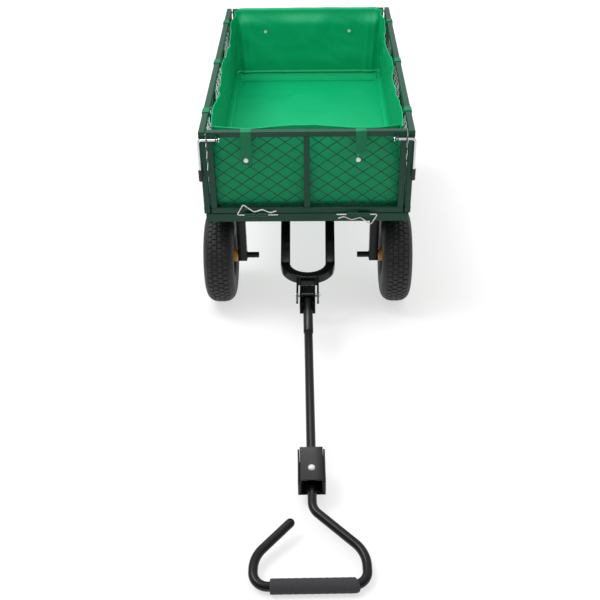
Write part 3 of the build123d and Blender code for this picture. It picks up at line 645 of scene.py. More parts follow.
def build_clips():
    """The spring clips of all the hinges."""
    half_turn = Matrix.Rotation(math.pi, 4, "Y")
    quarter = Matrix.Rotation(-math.pi / 2, 4, "Z")
    rear_y = REAR + HINGE_OFFSET
    side_x = SIDE_HALF + HINGE_OFFSET
    places = {
        "front_right_clip": [end_hinge(END_HINGE_X)],
        "front_left_clip": [end_hinge(-END_HINGE_X) @ half_turn],
        "rear_clips": [
            Matrix.Translation((x, rear_y, SIDE_BOTTOM))
            for x in (-END_HINGE_X, END_HINGE_X)
        ],
        "side_clips": [
            Matrix.Translation((x, y, SIDE_BOTTOM)) @ quarter
            for x in (-side_x, side_x)
            for y in (FRONT + SIDE_HINGE_INSET, REAR - SIDE_HINGE_INSET)
        ],
    }
    for name, found in places.items():
        bm = bmesh.new()
        for place in found:
            clip(bm, place)
        piece(f"{name}_wire", bm, "zinc_plate", name, [name])


# ---- Liner --------------------------------------------------------------------------------------
def liner_line(side):
    """The plan of one wall between its two corner seams: points, each with its outward direction."""
    r = LINER_CORNER
    reach, length = LINER_X, (LINER_Y1 - LINER_Y0) / 2
    if side in ("front", "rear"):
        reach, length = length, reach
    steps = round(2 * (length - r) / 0.006)
    stations = []
    for i in range(7):
        a = math.radians(-45 + i * 7.5)
        stations.append(((reach - r + r * math.cos(a), -length + r + r * math.sin(a)), a))
    for i in range(1, steps):
        stations.append(((reach, -length + r + 2 * (length - r) * i / steps), 0))
    for i in range(7):
        a = math.radians(i * 7.5)
        stations.append(((reach - r + r * math.cos(a), length - r + r * math.sin(a)), a))
    quarter = {"right": 0, "rear": 90, "left": 180, "front": 270}[side]
    turn = Matrix.Rotation(math.radians(quarter), 2)
    made = []
    for (x, y), a in stations:
        point = turn @ Vector((x, y)) + Vector((0, (LINER_Y0 + LINER_Y1) / 2))
        made.append((point, turn @ Vector((math.cos(a), math.sin(a)))))
    return made


def smooth(x):
    """0 below 0 and 1 above 1, with a soft rise between."""
    x = min(1, max(0, x))
    return x * x * (3 - 2 * x)


HOLD_POINTS = [(sx * LINER_X, y) for y in SIDE_STRAP_Y for sx in (-1, 1)]
HOLD_POINTS += [(x, LINER_Y0) for x in END_STRAPS["front"]]
HOLD_POINTS += [(x, LINER_Y1) for x in END_STRAPS["rear"]]
# The ridge sewn along the floor, as distances in from the wall and heights over the floor.
FOOT = [(0.0250, 0.0004), (0.0236, 0.0022), (0.0220, 0.0031), (0.0204, 0.0018), (0.0185, 0.0010)]
FOOT += [(0.0150, 0.0018), (0.0120, 0.0042), (0.0100, 0.0080), (0.0088, 0.0125), (0.0082, 0.0175)]
FOOT += [(0.0080, 0.0220)]
REAR_FOOT = [(0.0450, 0.0004), (0.0360, 0.0018), (0.0290, 0.0042), (0.0235, 0.0070), (0.0180, 0.0100)]
REAR_FOOT += [(0.0120, 0.0120), (0.0098, 0.0140), (0.0140, 0.0172), (0.0136, 0.0208), (0.0100, 0.0226)]
REAR_FOOT += [(0.0080, 0.0232)]


def slack(point):
    """How free the top edge is at a plan point: 0 at a strap, and 1 far from all of them."""
    nearest = min((point - Vector(hold)).length for hold in HOLD_POINTS)
    return smooth((nearest - STRAP_HALF * 0.6) / 0.13)


def liner_top(point):
    """The height of the liner's top edge over a plan point; it stands highest along both ends."""
    drift = noise.noise(Vector((point.x * 9, point.y * 9, 3.1)))
    top = 0.5435 - slack(point) * (0.0060 + 0.004 * drift)
    front = smooth((LINER_Y0 + 0.030 - point.y) / 0.03)
    rear = smooth((point.y - LINER_Y1 + 0.055) / 0.05)
    return top + (0.5505 + 0.002 * drift - top) * front + (SIDE_TOP + 0.0008 - top) * rear


def pleats(point, z):
    """How far a few standing folds near the rear corners push the fabric inwards."""
    total = 0
    lean = 0.010 * (0.55 - z) / 0.22
    for sx in (-1, 1):
        folds = [(sx * (0.220 - lean), LINER_Y1, 0.009), (sx * (0.202 - lean), LINER_Y1, 0.005)]
        folds.append((sx * LINER_X, 0.872 - lean, 0.007))
        for x, y, depth in folds:
            gap = (point - Vector((x, y))).length
            total += depth * math.exp(-((gap / 0.0065) ** 2))
    return total * (0.7 + 0.3 * noise.noise(Vector((point.x * 5, point.y * 5, z * 22))))


def hang(point, z, top):
    """How far the fabric of a wall stands in from the rails."""
    height = smooth((z - 0.40) / (top - 0.40))
    loose = slack(point)
    waves = noise.noise(Vector((point.x * 24, point.y * 24, z * 5)))
    fine = noise.noise(Vector((point.x * 60, point.y * 60, z * 16 + 7)))
    broad = noise.noise(Vector((point.x * 7, point.y * 7, z * 8 + 2)))
    away = 0.0030 + 0.0025 * (1 + broad) * smooth((z - 0.34) / 0.05)
    away += height * loose * (0.0072 + 0.005 * waves)
    away += 0.0016 * (1 + waves) + 0.0006 * (1 + fine)
    if point.y < LINER_Y0 + 0.002:
        away += height * loose * 0.009
    creases = abs(noise.noise(Vector((point.x * 13 + z * 9, point.y * 13 - z * 6, z * 15))))
    away += 0.0036 * creases * smooth((z - LINER_FLOOR - 0.02) / 0.04)
    return away + pleats(point, z)


def covering(side, point, half):
    """How fully the rear wall goes on over its rail: 1 up to half from the middle, and 0 beyond."""
    return smooth((half - abs(point.x)) / 0.008) if side == "rear" else 0


def wall_column(side, point, outward):
    """The inset and height of each point up a wall, from the floor to the hem or over the rail."""
    cover = covering(side, point, LINER_X - LINER_CORNER)
    flap = covering(side, point, FLAP_HALF + 0.006)
    top = liner_top(point)
    rearward = max(0, outward.y) ** 2
    puff = 1 + 0.35 * noise.noise(Vector((point.x * 30, point.y * 30, 5)))
    rest = hang(point, WALL_START, top)
    column = []
    for (near, low), (far, high) in zip(FOOT, REAR_FOOT):
        inset = near + (far - near) * rearward
        rise = low + (high - low) * rearward
        inset_at_wall = (rest - 0.0085) * smooth(rise / (WALL_START - LINER_FLOOR))
        lift = rise * (puff if inset > 0.019 else 1)
        column.append((inset + inset_at_wall, LINER_FLOOR + 0.0006 + lift))
    rows = 30
    wave = 0.0012 * noise.noise(Vector((point.x * 14, 0, 1.3)))
    over = SIDE_TOP + 0.0016 + wave
    for i in range(rows + 1):
        z = WALL_START + (top - WALL_START) * i / rows
        away = hang(point, z, top)
        tall = WALL_START + (SIDE_TOP - 0.001 - WALL_START) * i / rows
        tight = away + (0.0012 - away) * smooth((tall - 0.505) / 0.04)
        column.append((away + (tight - away) * cover, z + (tall - z) * cover))
    edge = column[-1][0]
    hem = [(edge - 0.0005, top + 0.0011), (edge - 0.0014, top + 0.0015), (edge - 0.0023, top + 0.0010)]
    hem += [(edge - 0.0026, top - 0.001), (edge - 0.0024, top - 0.011)]
    past = -SIDE_TUBE - 0.0013
    rail = [(0.0002, over), (-0.5 * SIDE_TUBE, over + 0.0006), (past, over - 0.0008)]
    rail.append((past - 0.0004, over - 0.0012 - 0.003 * flap))
    rail.append((past - 0.0008 - wave, over - 0.0016 - 0.028 * flap))
    for (a, low), (b, high) in zip(hem, rail):
        column.append((a + (b - a) * cover, low + (high - low) * cover))
    return column


def liner_wall(side):
    """One wall of the liner, with a sewn ridge along the floor and a folded hem at the top."""
    bm = bmesh.new()
    columns = []
    for point, outward in liner_line(side):
        column = wall_column(side, point, outward)
        least = -1 if side == "rear" else 0.0006
        columns.append([bm.verts.new((*(point - outward * max(d, least)), z)) for d, z in column])
    for left, right in zip(columns, columns[1:]):
        for i in range(len(left) - 1):
            bm.faces.new((left[i], right[i], right[i + 1], left[i + 1]))
    made = piece(f"{side}_liner_wall", bm, "liner_fabric", None, [f"{side}_liner"], sharp=80)
    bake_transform(made)
    return made


def strap(bm, path, across, half):
    """A flat band along a path, with slightly crimped edges."""
    rings = []
    for i, here in enumerate(path):
        ahead = (path[min(i + 1, len(path) - 1)] - path[max(i - 1, 0)]).normalized()
        out = across.cross(ahead)
        width = half * (1 + 0.02 * math.sin(i * 1.3))
        outline = [(-width, 0.0006), (-width * 0.93, 0.0011), (0, 0.0013), (width * 0.93, 0.0011)]
        outline += [(width, 0.0006), (width * 0.93, 0), (0, 0), (-width * 0.93, 0)]
        rings.append([here + across * a - out * b for a, b in outline])
    skin(bm, rings)


def even(points, step):
    """A line with extra points, no further apart than step."""
    made = [points[0]]
    for a, b in zip(points, points[1:]):
        count = max(1, math.ceil((b - a).length / step))
        made += [a.lerp(b, i / count) for i in range(1, count + 1)]
    return made


def end_straps(end):
    """The two straps down an end side's face, over the rail at the front, and their press studs."""
    turn = SAME if end == "front" else REARWARD
    inside = FRONT + SIDE_TUBE
    over = SIDE_TOP + 0.0006
    stud_z = STUD_Z[end]
    bm = bmesh.new()
    for x, foot in zip(END_STRAPS[end], STRAP_ENDS[end]):
        points = [(x, FRONT - 0.0038, 0.536), (x, FRONT - 0.0040, 0.528), (x, FRONT - 0.0016, foot)]
        radii = [0.02]
        if end == "front":
            points = [(x, inside + 0.0035, 0.520), (x, inside + 0.0008, 0.545), (x, inside + 0.0008, over)]
            points += [(x, FRONT - 0.0008, over), (x, FRONT - 0.0012, 0.532), (x, FRONT - 0.0016, foot)]
            radii = [0.01, 0.0026, 0.0026, 0.02]
        strap(bm, even(bent(points, radii, 5), 0.006), X_AXIS, STRAP_HALF)
    made = piece(f"{end}_liner_straps", bm, "strap_fabric", f"{end}_side", [], turn, 70)
    bm = bmesh.new()
    cap = [(-0.0004, 0.0056), (0.0002, 0.0060), (0.0013, 0.0056), (0.0014, 0.0042), (0.0022, 0.0030)]
    cap += [(0.0022, 0.0018), (0.0026, 0.0010)]
    washer = [(0, 0.0045), (0.0004, 0.0052), (0.0012, 0.0048), (0.0016, 0.0022)]
    for x in STUDS[end]:
        lathe(bm, facing((x, FRONT - 0.0028, stud_z), -Y_AXIS), cap, 28)
        at_wall = Vector((x, LINER_Y0)) if end == "front" else Vector((-x, LINER_Y1))
        gap = hang(at_wall, stud_z, liner_top(at_wall)) + 0.0004
        shank = [(0, 0.002), (SIDE_TUBE + gap + 0.002, 0.002)]
        lathe(bm, facing((x, FRONT - 0.002, stud_z), Y_AXIS), shank, 16)
        lathe(bm, facing((x, inside + gap, stud_z), Y_AXIS), washer, 28)
    piece(f"{end}_press_studs", bm, "zinc_plate", f"{end}_side", [f"{end}_liner_studs"], turn)
    return made


def side_straps(side):
    """The three straps over a long side's top rail."""
    turn = SAME if side == "right" else MIRROR
    inside = SIDE_HALF - SIDE_TUBE
    over = SIDE_TOP + 0.0006
    bm = bmesh.new()
    for y in SIDE_STRAP_Y:
        points = [(inside - 0.0035, y, 0.520), (inside - 0.0008, y, 0.545), (inside - 0.0008, y, over)]
        points += [(SIDE_HALF + 0.0008, y, over), (SIDE_HALF + 0.0012, y, 0.529)]
        path = even(bent(points, [0.01, 0.0026, 0.0026], 5), 0.006)
        strap(bm, path, Y_AXIS, STRAP_HALF)
    return piece(f"{side}_liner_straps", bm, "strap_fabric", f"{side}_side", [], turn, 70)


def liner_sheet():
    """The liner's floor, which lies on the deck's mesh in faint swells."""
    bm = bmesh.new()
    half_x, half_y = LINER_X - 0.016, (LINER_Y1 - LINER_Y0) / 2 - 0.016
    columns, rows = 48, 96
    grid = []
    for i in range(columns + 1):
        line = []
        for j in range(rows + 1):
            x = half_x * (2 * i / columns - 1)
            y = MIDDLE + half_y * (2 * j / rows - 1)
            swell = noise.noise(Vector((x * 9, y * 5, 1.7))) * 0.0012
            swell += noise.noise(Vector((x * 26, y * 18, 4.2))) * 0.0005
            edge = min(half_x - abs(x), half_y - abs(y - MIDDLE))
            line.append(bm.verts.new((x, y, LINER_FLOOR + swell * smooth(edge / 0.05))))
        grid.append(line)
    for a, b in zip(grid, grid[1:]):
        for j in range(rows):
            bm.faces.new((a[j], b[j], b[j + 1], a[j + 1]))
    made = piece("liner_floor_sheet", bm, "liner_fabric", "chassis", ["liner_floor"], sharp=80)


def build_liner():
    """The fabric floor and walls, with their straps and studs."""
    liner_sheet()
    for side in ("front", "rear", "left", "right"):
        wall = liner_wall(side)
        straps = end_straps(side) if side in ("front", "rear") else side_straps(side)


# ---- Wheels and axles ---------------------------------------------------------------------------
def tread_radius(x):
    """The radius of the tyre's outside at a distance from its middle."""
    share = min(1, abs(x) / TYRE_HALF)
    return SHOULDER_RADIUS + (WHEEL_Z - SHOULDER_RADIUS) * (1 - share**2.8) ** 0.435


def block(bm, place, x0, x1, a0, a1):
    """One tread block between two distances along the axle and two angles."""
    rings = []
    for inset, drop in ((0, 0.0036), (0, 0.0009), (0.0006, 0.0002), (0.0012, 0)):
        ring = []
        turn_inset = inset / 0.128
        low_x, high_x = x0 + inset, x1 - inset
        low_a, high_a = a0 + turn_inset, a1 - turn_inset
        edge = [(low_x + (high_x - low_x) * k / 3, low_a) for k in range(3)]
        edge += [(high_x, low_a + (high_a - low_a) * k / 2) for k in range(2)]
        edge += [(high_x - (high_x - low_x) * k / 3, high_a) for k in range(3)]
        edge += [(low_x, high_a - (high_a - low_a) * k / 2) for k in range(2)]
        for x, a in edge:
            r = tread_radius(x) - drop
            ring.append(place @ Vector((r * math.cos(a), r * math.sin(a), x)))
        rings.append(ring)
    skin(bm, rings)


def tyre(name, body, centre):
    """A pneumatic tyre: a carcass with smooth side walls, and four rows of tread blocks."""
    bm = bmesh.new()
    place = facing(centre, X_AXIS, Z_AXIS)
    half = []
    for i in range(17):
        x = TYRE_HALF * math.sin(i / 16 * math.pi / 2)
        groove = 0.0026 * (1 - smooth((x - 0.0255) / 0.003))
        half.append((x, tread_radius(x) - groove))
    half += [(0.0404, 0.085), (0.0399, 0.077), (0.0389, 0.0745), (0.0391, 0.0725), (0.0381, 0.068)]
    half += [(0.0366, 0.064), (0.0350, 0.0605), (0.0336, 0.0588), (0.0318, 0.0582), (0.0268, 0.0580)]
    half += [(0.0266, 0.0515)]
    profile = half + [(-x, r) for x, r in reversed(half[1:])]
    lathe(bm, place, profile, 96, looped=True)
    pitches = 50
    step = 2 * math.pi / pitches
    rows = ((-0.0262, -0.0148, 0), (-0.0130, -0.0010, 0.5), (0.0010, 0.0130, 0), (0.0148, 0.0262, 0.5))
    for x0, x1, shift in rows:
        for i in range(pitches):
            a = (i + shift) * step
            block(bm, place, x0, x1, a + 0.09 * step, a + 0.91 * step)
    piece(f"{name}_tread", bm, "tyre_rubber", body, [f"{name}_tyre"], sharp=42)


def rim(name, body, centre, out):
    """A pressed steel wheel with rolled flanges, a ribbed disc, a hub tube and four nuts."""
    bm = bmesh.new()
    place = facing(centre, X_AXIS, Z_AXIS)
    half = [(0, 0.0510), (0.012, 0.0506), (0.0225, 0.0510), (0.0266, 0.0515), (0.0270, 0.0566)]
    half += [(0.0276, 0.0574), (0.0286, 0.0576), (0.0292, 0.0568), (0.0291, 0.0500), (0.0282, 0.0482)]
    half += [(0.026, 0.0480), (0.012, 0.0478), (0, 0.0478)]
    profile = half + [(-x, r) for x, r in reversed(half[1:-1])]
    lathe(bm, place, profile, 72, looped=True)
    disc = [(-0.0022, 0.0175), (-0.0022, 0.024), (-0.0050, 0.028), (-0.0050, 0.036), (-0.0022, 0.040)]
    disc += [(-0.0022, 0.049), (0.0012, 0.049), (0.0012, 0.0415), (-0.0016, 0.0375), (-0.0016, 0.027)]
    disc += [(0.0012, 0.0225), (0.0012, 0.0175)]
    lathe(bm, place, disc, 72, looped=True)
    hub_start = HUB_INNER - TRACK_HALF
    hub_end = HUB_OUTER - TRACK_HALF - 0.0001
    hub = [(hub_start, 0.0155), (hub_start, 0.0176), (hub_start + 0.0009, 0.0185)]
    hub += [(hub_end - 0.0009, 0.0185), (hub_end, 0.0176), (hub_end, 0.0155)]
    lathe(bm, facing(centre, X_AXIS * out, Z_AXIS), hub, 48, looped=True)
    for k in range(4):
        a = math.radians(45 + 90 * k)
        spot = centre + Vector((0, 0.032 * math.cos(a), 0.032 * math.sin(a)))
        nut = rounded(circle(0.0052, 6), 0.0006, 2)
        prism(bm, facing(spot - X_AXIS * 0.0085 * out, X_AXIS * out, Z_AXIS), nut, 0.013)
    piece(f"{name}_wheel_disc", bm, "yellow_paint", body, [f"{name}_rim"])


def valve(name, body, centre, out):
    """The tyre's valve, which stands on the bottom of the rim and leans outwards."""
    bm = bmesh.new()
    stem = [(0, 0.0048), (0.003, 0.0042), (0.010, 0.0032), (0.016, 0.0030), (0.0165, 0.0038)]
    stem += [(0.023, 0.0038), (0.0245, 0.0030)]
    start = centre + Vector((0.006 * out, 0, -0.0475))
    lathe(bm, facing(start, (0.35 * out, 0, 1), X_AXIS), stem, 20)
    piece(f"{name}_valve", bm, "black_rubber", body)


def bearings(name, body, centre, out):
    """The sleeve bearings in the two ends of a hub."""
    bm = bmesh.new()
    for start, away in ((HUB_INNER - TRACK_HALF, 1), (HUB_OUTER - TRACK_HALF, -1)):
        ring = [(0, 0.0082), (-0.0001 * away, 0.0140), (0.0006 * away, 0.0149), (0.0095 * away, 0.0149)]
        ring += [(0.0100 * away, 0.0082)]
        lathe(bm, facing(centre + X_AXIS * out * start, X_AXIS * out), ring, 36, looped=True)
    piece(f"{name}_sleeve_bearings", bm, "bearing_steel", body, [f"{name}_bearings"])


def axle_tubes(end, y, beam_bottom, body):
    """An axle frame of square tube: a beam with a post at each end, and risers at the front."""
    half = POST_TUBE / 2
    inner = POST_OUTER - POST_TUBE
    top = beam_bottom + POST_TUBE
    bm = bmesh.new()
    bar(bm, -POST_OUTER, POST_OUTER, y - half, y + half, beam_bottom, top)
    for side in (-1, 1):
        x = POST_OUTER - half
        low_x = side * x - half
        bar(bm, low_x, low_x + POST_TUBE, y - half, y + half, POST_BOTTOM, beam_bottom + 0.002)
        for edge in (y - half, y + half):
            bead(bm, (low_x, edge, beam_bottom), (low_x + POST_TUBE, edge, beam_bottom), 0.0019)
        bead(bm, (side * inner, y - half, beam_bottom), (side * inner, y + half, beam_bottom), 0.0019)
    if end == "front":
        for x in (-0.060, 0.035):
            bar(bm, x, x + POST_TUBE, y - half, y + half, top - 0.002, TURNTABLE_LOW)
            for edge in (y - half, y + half):
                bead(bm, (x, edge, top), (x + POST_TUBE, edge, top))
                bead(bm, (x, edge, TURNTABLE_LOW), (x + POST_TUBE, edge, TURNTABLE_LOW))
    piece(f"{end}_axle_tubes", bm, "black_paint", body, [f"{end}_axle_frame"])


def stub_shafts(end, y, body):
    """The two stub axles of an axle frame, each through its post and welded round on both faces."""
    bm = bmesh.new()
    for side in (-1, 1):
        stub = [(0.136, AXLE_RADIUS - 0.0014), (0.1372, AXLE_RADIUS), (0.2805, AXLE_RADIUS)]
        stub.append((0.282, AXLE_RADIUS - 0.0014))
        lathe(bm, facing((0, y, WHEEL_Z), X_AXIS * side), stub, 32)
        for x in (POST_OUTER, POST_OUTER - POST_TUBE):
            ring = [Vector((side * x, y, WHEEL_Z)) + Vector((0, *p)) for p in circle(0.0092, 20)]
            ring_bead(bm, ring, 0.0012)
    piece(f"{end}_stub_shafts", bm, "black_paint", body, [f"{end}_stub_axles"])


def retainers(end, y, body):
    """The washers on both sides of an axle's wheels, and the split pins through its stub axles."""
    bm = bmesh.new()
    for side in (-1, 1):
        for start, thick in ((POST_OUTER, 0.0017), (HUB_OUTER + 0.0003, 0.0022)):
            stop = start + thick
            ring = [(start, 0.0081), (start, 0.0135), (start + 0.0004, 0.014), (stop - 0.0004, 0.014)]
            ring += [(stop, 0.0135), (stop, 0.0081)]
            lathe(bm, facing((0, y, WHEEL_Z), X_AXIS * side), ring, 36, looped=True)
        x = side * PIN_X
        for shift in (-0.0009, 0.0009):
            leg = [(x + shift, y, WHEEL_Z + 0.010), (x + shift, y, WHEEL_Z - 0.009)]
            leg.append((x + shift * 3, y, WHEEL_Z - 0.0135))
            rod(bm, bent(leg, [0.004]), 0.0009, 8, True)
        ring = [Vector((x, y, WHEEL_Z + 0.0115)) + Vector((p.x, 0, p.y)) for p in circle(0.0022, 16)]
        for a, b in zip(ring, ring[1:] + ring[:1]):
            swept(bm, [a, b], circle(0.0008, 6))
    piece(f"{end}_washers_and_pins", bm, "zinc_plate", body, [f"{end}_wheel_retainers"])


# ---- Turntable, drawbar and handle --------------------------------------------------------------
def build_turntable():
    """The two plates that turn on each other, and the bolt through them."""
    half = 0.075
    bm = bmesh.new()
    outline = rounded(rectangle(-half, -half, half, half), 0.004, 4)
    prism(bm, facing((0, FRONT_AXLE_Y, DECK_BOTTOM - 0.005), Z_AXIS, X_AXIS), outline, 0.005)
    piece("turntable_plate", bm, "green_paint", "chassis", ["turntable_top"])
    bm = bmesh.new()
    disc = [(0, 0.0742), (0.0008, 0.075), (0.0042, 0.075), (0.005, 0.0742)]
    lathe(bm, facing((0, FRONT_AXLE_Y, TURNTABLE_LOW), Z_AXIS), disc, 72)
    piece("turntable_disc", bm, "black_paint", "front_axle", ["turntable_bottom"])
    bm = bmesh.new()
    shaft = [(TURNTABLE_LOW - 0.0155, 0.007), (TURNTABLE_LOW - 0.015, 0.008), (DECK_BOTTOM, 0.008)]
    lathe(bm, facing((0, FRONT_AXLE_Y, 0), Z_AXIS), shaft, 32)
    hexagon = rounded(circle(0.013, 6), 0.001, 2)
    prism(bm, facing((0, FRONT_AXLE_Y, DECK_BOTTOM), Z_AXIS), hexagon, 0.010, 0.001)
    prism(bm, facing((0, FRONT_AXLE_Y, TURNTABLE_LOW - 0.0135), Z_AXIS), hexagon, 0.013, 0.001)
    piece("turntable_bolt", bm, "zinc_plate", "chassis", ["kingpin"])


def drawbar_leg(side, rise, lean):
    """Stations down one leg of the drawbar and into its flat bend: place, outward direction and tilt."""
    foot = Vector((side * DRAWBAR_HALF, DRAWBAR_Y, HINGE_Z))
    out = X_AXIS * side
    stations = [(foot + lean * d, out, DRAWBAR_SLOPE) for d in (rise - 0.004, rise / 2, 0.020)]
    for k in range(1, 6):
        t = k / 6
        spot = foot + lean * 0.020 * (1 - t) ** 2 - Y_AXIS * 0.008 * t * t
        stations.append((spot, out, DRAWBAR_SLOPE * (1 - t)))
    return stations


def drawbar_tube():
    """The U of square tube under the front beam, which slopes down to a flat bend."""
    rise = (FRONT_BEAM_BOTTOM - HINGE_Z) / math.sin(DRAWBAR_SLOPE)
    lean = Vector((0, math.cos(DRAWBAR_SLOPE), math.sin(DRAWBAR_SLOPE)))
    half = POST_TUBE / 2
    outline = rounded(rectangle(-half, -half, half, half), 0.0035, 5)
    stations = drawbar_leg(-1, rise, lean)
    for k in range(4, 33):
        a = math.pi + math.pi * k / 36
        out = Vector((math.cos(a), math.sin(a), 0))
        stations.append((Vector((0, DRAWBAR_Y, HINGE_Z)) + out * DRAWBAR_HALF, out, 0))
    stations += drawbar_leg(1, rise, lean)[::-1]
    rings = []
    for spot, out, tilt in stations:
        up = Vector((0, -math.sin(tilt), math.cos(tilt)))
        rings.append([spot + out * p.x + up * p.y for p in outline])
    top = FRONT_BEAM_BOTTOM
    for ring in (rings[0], rings[-1]):
        for i, point in enumerate(ring):
            ring[i] = point + lean * ((top - point.z) / lean.z)
    bm = bmesh.new()
    skin(bm, rings)
    for side in (-1, 1):
        x0, x1 = side * (DRAWBAR_HALF - half), side * (DRAWBAR_HALF + half)
        mouth = DRAWBAR_Y + math.cos(DRAWBAR_SLOPE) * rise
        reach = half / math.sin(DRAWBAR_SLOPE)
        for y in (mouth - reach, mouth + reach):
            y = max(FRONT_AXLE_Y - half + 0.001, min(FRONT_AXLE_Y + half, y))
            bead(bm, (x0, y, top), (x1, y, top), 0.0022)
    piece("drawbar_tube", bm, "black_paint", "front_axle", ["drawbar_loop"])


def drawbar_ears():
    """The fork that is welded to the drawbar's bend: two ears on a plate."""
    bend = DRAWBAR_Y - DRAWBAR_HALF - POST_TUBE / 2
    bm = bmesh.new()
    ear = [(bend, -0.012), (bend, 0.012), (HINGE_Y, 0.009), (HINGE_Y - 0.028, -0.001)]
    ear += [(HINGE_Y - 0.028, -0.008), (HINGE_Y, -0.011)]
    ear = rounded([(y, z + HINGE_Z) for y, z in ear[::-1]], 0.0025, 3)
    for x in (-0.029, 0.024):
        prism(bm, facing((x, 0, 0), X_AXIS, Y_AXIS), ear, 0.005, 0.0008)
    bar(bm, -0.0245, 0.0245, bend - 0.004, bend + 0.0015, HINGE_Z - 0.012, HINGE_Z + 0.012, 0.001)
    for z in (-0.0118, 0.0118):
        bead(bm, (-0.024, bend - 0.0005, HINGE_Z + z), (0.024, bend - 0.0005, HINGE_Z + z), 0.0020)
    piece("drawbar_ears", bm, "black_paint", "front_axle", ["drawbar_fork"])


def hinge_bolt():
    """The domed bolt that the handle turns on."""
    bm = bmesh.new()
    head = [(0.0, 0.0075), (0.0014, 0.0074), (0.0028, 0.0064), (0.0040, 0.0046), (0.0048, 0.0022)]
    head.append((0.0050, 0.0004))
    for side in (-1, 1):
        lathe(bm, facing((side * 0.029, HINGE_Y, HINGE_Z), X_AXIS * side), head, 28)
    lathe(bm, facing((-0.030, HINGE_Y, HINGE_Z), X_AXIS), [(0, 0.005), (0.060, 0.005)], 24)
    piece("hinge_bolt", bm, "zinc_plate", "front_axle", ["drawbar_bolt"])


def hinge_channel():
    """The channel on the hinge bolt, with the spacer inside it and the socket for the pole."""
    half, web, floor = 0.0198, 0.003, -0.011
    bm = bmesh.new()
    section = [(-half, floor - web), (half, floor - web), (half, 0.017), (half - web, 0.017)]
    section += [(half - web, floor), (-half + web, floor), (-half + web, 0.017), (-half, 0.017)]
    prism(bm, facing((0, 0.048, 0), -Y_AXIS, X_AXIS), rounded(section, 0.0012, 3), 0.101, 0.0006)
    socket = [(0.020, 0.0113), (0.0208, 0.012), (0.131, 0.012), (0.132, 0.0113), (0.132, 0.0105)]
    lathe(bm, LEANED @ facing((0, 0, 0), -Y_AXIS), socket, 36)
    spacer = [(-0.0166, 0.0054), (-0.0166, 0.0068), (-0.0160, 0.0074)]
    spacer += [(-x, r) for x, r in reversed(spacer)]
    lathe(bm, facing((0, 0, 0), X_AXIS), spacer, 32, looped=True)
    for x in (-0.0095, 0.0095):
        bead(bm, (x, -0.022, -0.0105), (x, -0.053, -0.0105), 0.0018)
    piece("hinge_channel", bm, "black_paint", "handle", ["handle_channel"], TIPPED)


def pole_tube():
    """The round pole between the channel and the hitch box."""
    bm = bmesh.new()
    pole = [(0.022, 0.0095), (0.023, 0.0105), (0.515, 0.0105), (0.516, 0.0095)]
    lathe(bm, facing((0, 0, 0), -Y_AXIS), pole, 40)
    piece("pole_tube", bm, "black_paint", "handle", ["handle_pole"], HANDLE_PLACE)


def hitch_box_top():
    """The upper half of the hitch box: a channel that opens downwards, closed by a plate at the pole."""
    half, top, web = BOX_HALF, BOX_TOP, BOX_WALL
    bm = bmesh.new()
    outline = [(-half, 0.004 - top), (-half, top), (half, top), (half, 0.004 - top)]
    outline += [(half - web, 0.004 - top), (half - web, top - web)]
    outline += [(-half + web, top - web), (-half + web, 0.004 - top)]
    outline = rounded(outline[::-1], 0.0014, 3)
    length = BOX_END - 0.001 - BOX_START
    prism(bm, facing((0, -BOX_START, 0), -Y_AXIS, X_AXIS), outline, length, 0.0006)
    low, high, edge = 0.005 - top, top - 0.001, half - 0.001
    plate = rounded(rectangle(-edge, low, edge, high), 0.001, 2)
    prism(bm, facing((0, -BOX_START - 0.0003, 0), -Y_AXIS, X_AXIS), plate, BOX_WALL)
    ring = [Vector((p.x, -BOX_START + 0.0002, p.y)) for p in circle(0.0115, 24)]
    ring_bead(bm, ring, 0.0014)
    piece("hitch_box_top", bm, "black_paint", "handle", ["hitch_box_inner"], HANDLE_PLACE)


def hitch_box_base():
    """The lower half of the hitch box: a wider channel round the upper one."""
    top = BOX_TOP - 0.003
    gap, outer = BOX_HALF + 0.0007, BOX_HALF + 0.0047
    bm = bmesh.new()
    outline = [(-outer, top), (-outer, -BOX_TOP - 0.001), (outer, -BOX_TOP - 0.001), (outer, top)]
    outline += [(gap, top), (gap, BOX_WALL - BOX_TOP), (-gap, BOX_WALL - BOX_TOP), (-gap, top)]
    start = BOX_START + 0.004
    place = facing((0, -start, 0), -Y_AXIS, X_AXIS)
    prism(bm, place, rounded(outline, 0.0012, 3), BOX_END - start, 0.0006)
    piece("hitch_box_base", bm, "black_paint", "handle", ["hitch_box_outer"], HANDLE_PLACE)


def hitch_box_bolt():
    """The domed bolt down through the hitch box, with its nut below."""
    bm = bmesh.new()
    head = [(0.0, 0.0079), (0.0014, 0.0078), (0.0030, 0.0068), (0.0044, 0.0049), (0.0053, 0.0024)]
    head.append((0.0055, 0.0004))
    lathe(bm, facing((0, -BOX_BOLT, BOX_TOP), Z_AXIS), head, 28)
    shank = [(0, 0.0034), (0.0008, 0.004), (2 * BOX_TOP + 0.01, 0.004)]
    lathe(bm, facing((0, -BOX_BOLT, -BOX_TOP - 0.010), Z_AXIS), shank, 20)
    nut = rounded(circle(0.007, 6), 0.0006, 2)
    prism(bm, facing((0, -BOX_BOLT, -BOX_TOP - 0.0075), Z_AXIS), nut, 0.0065, 0.0006)
    piece("hitch_box_bolt", bm, "zinc_plate", "handle", ["hitch_bolt"], HANDLE_PLACE)


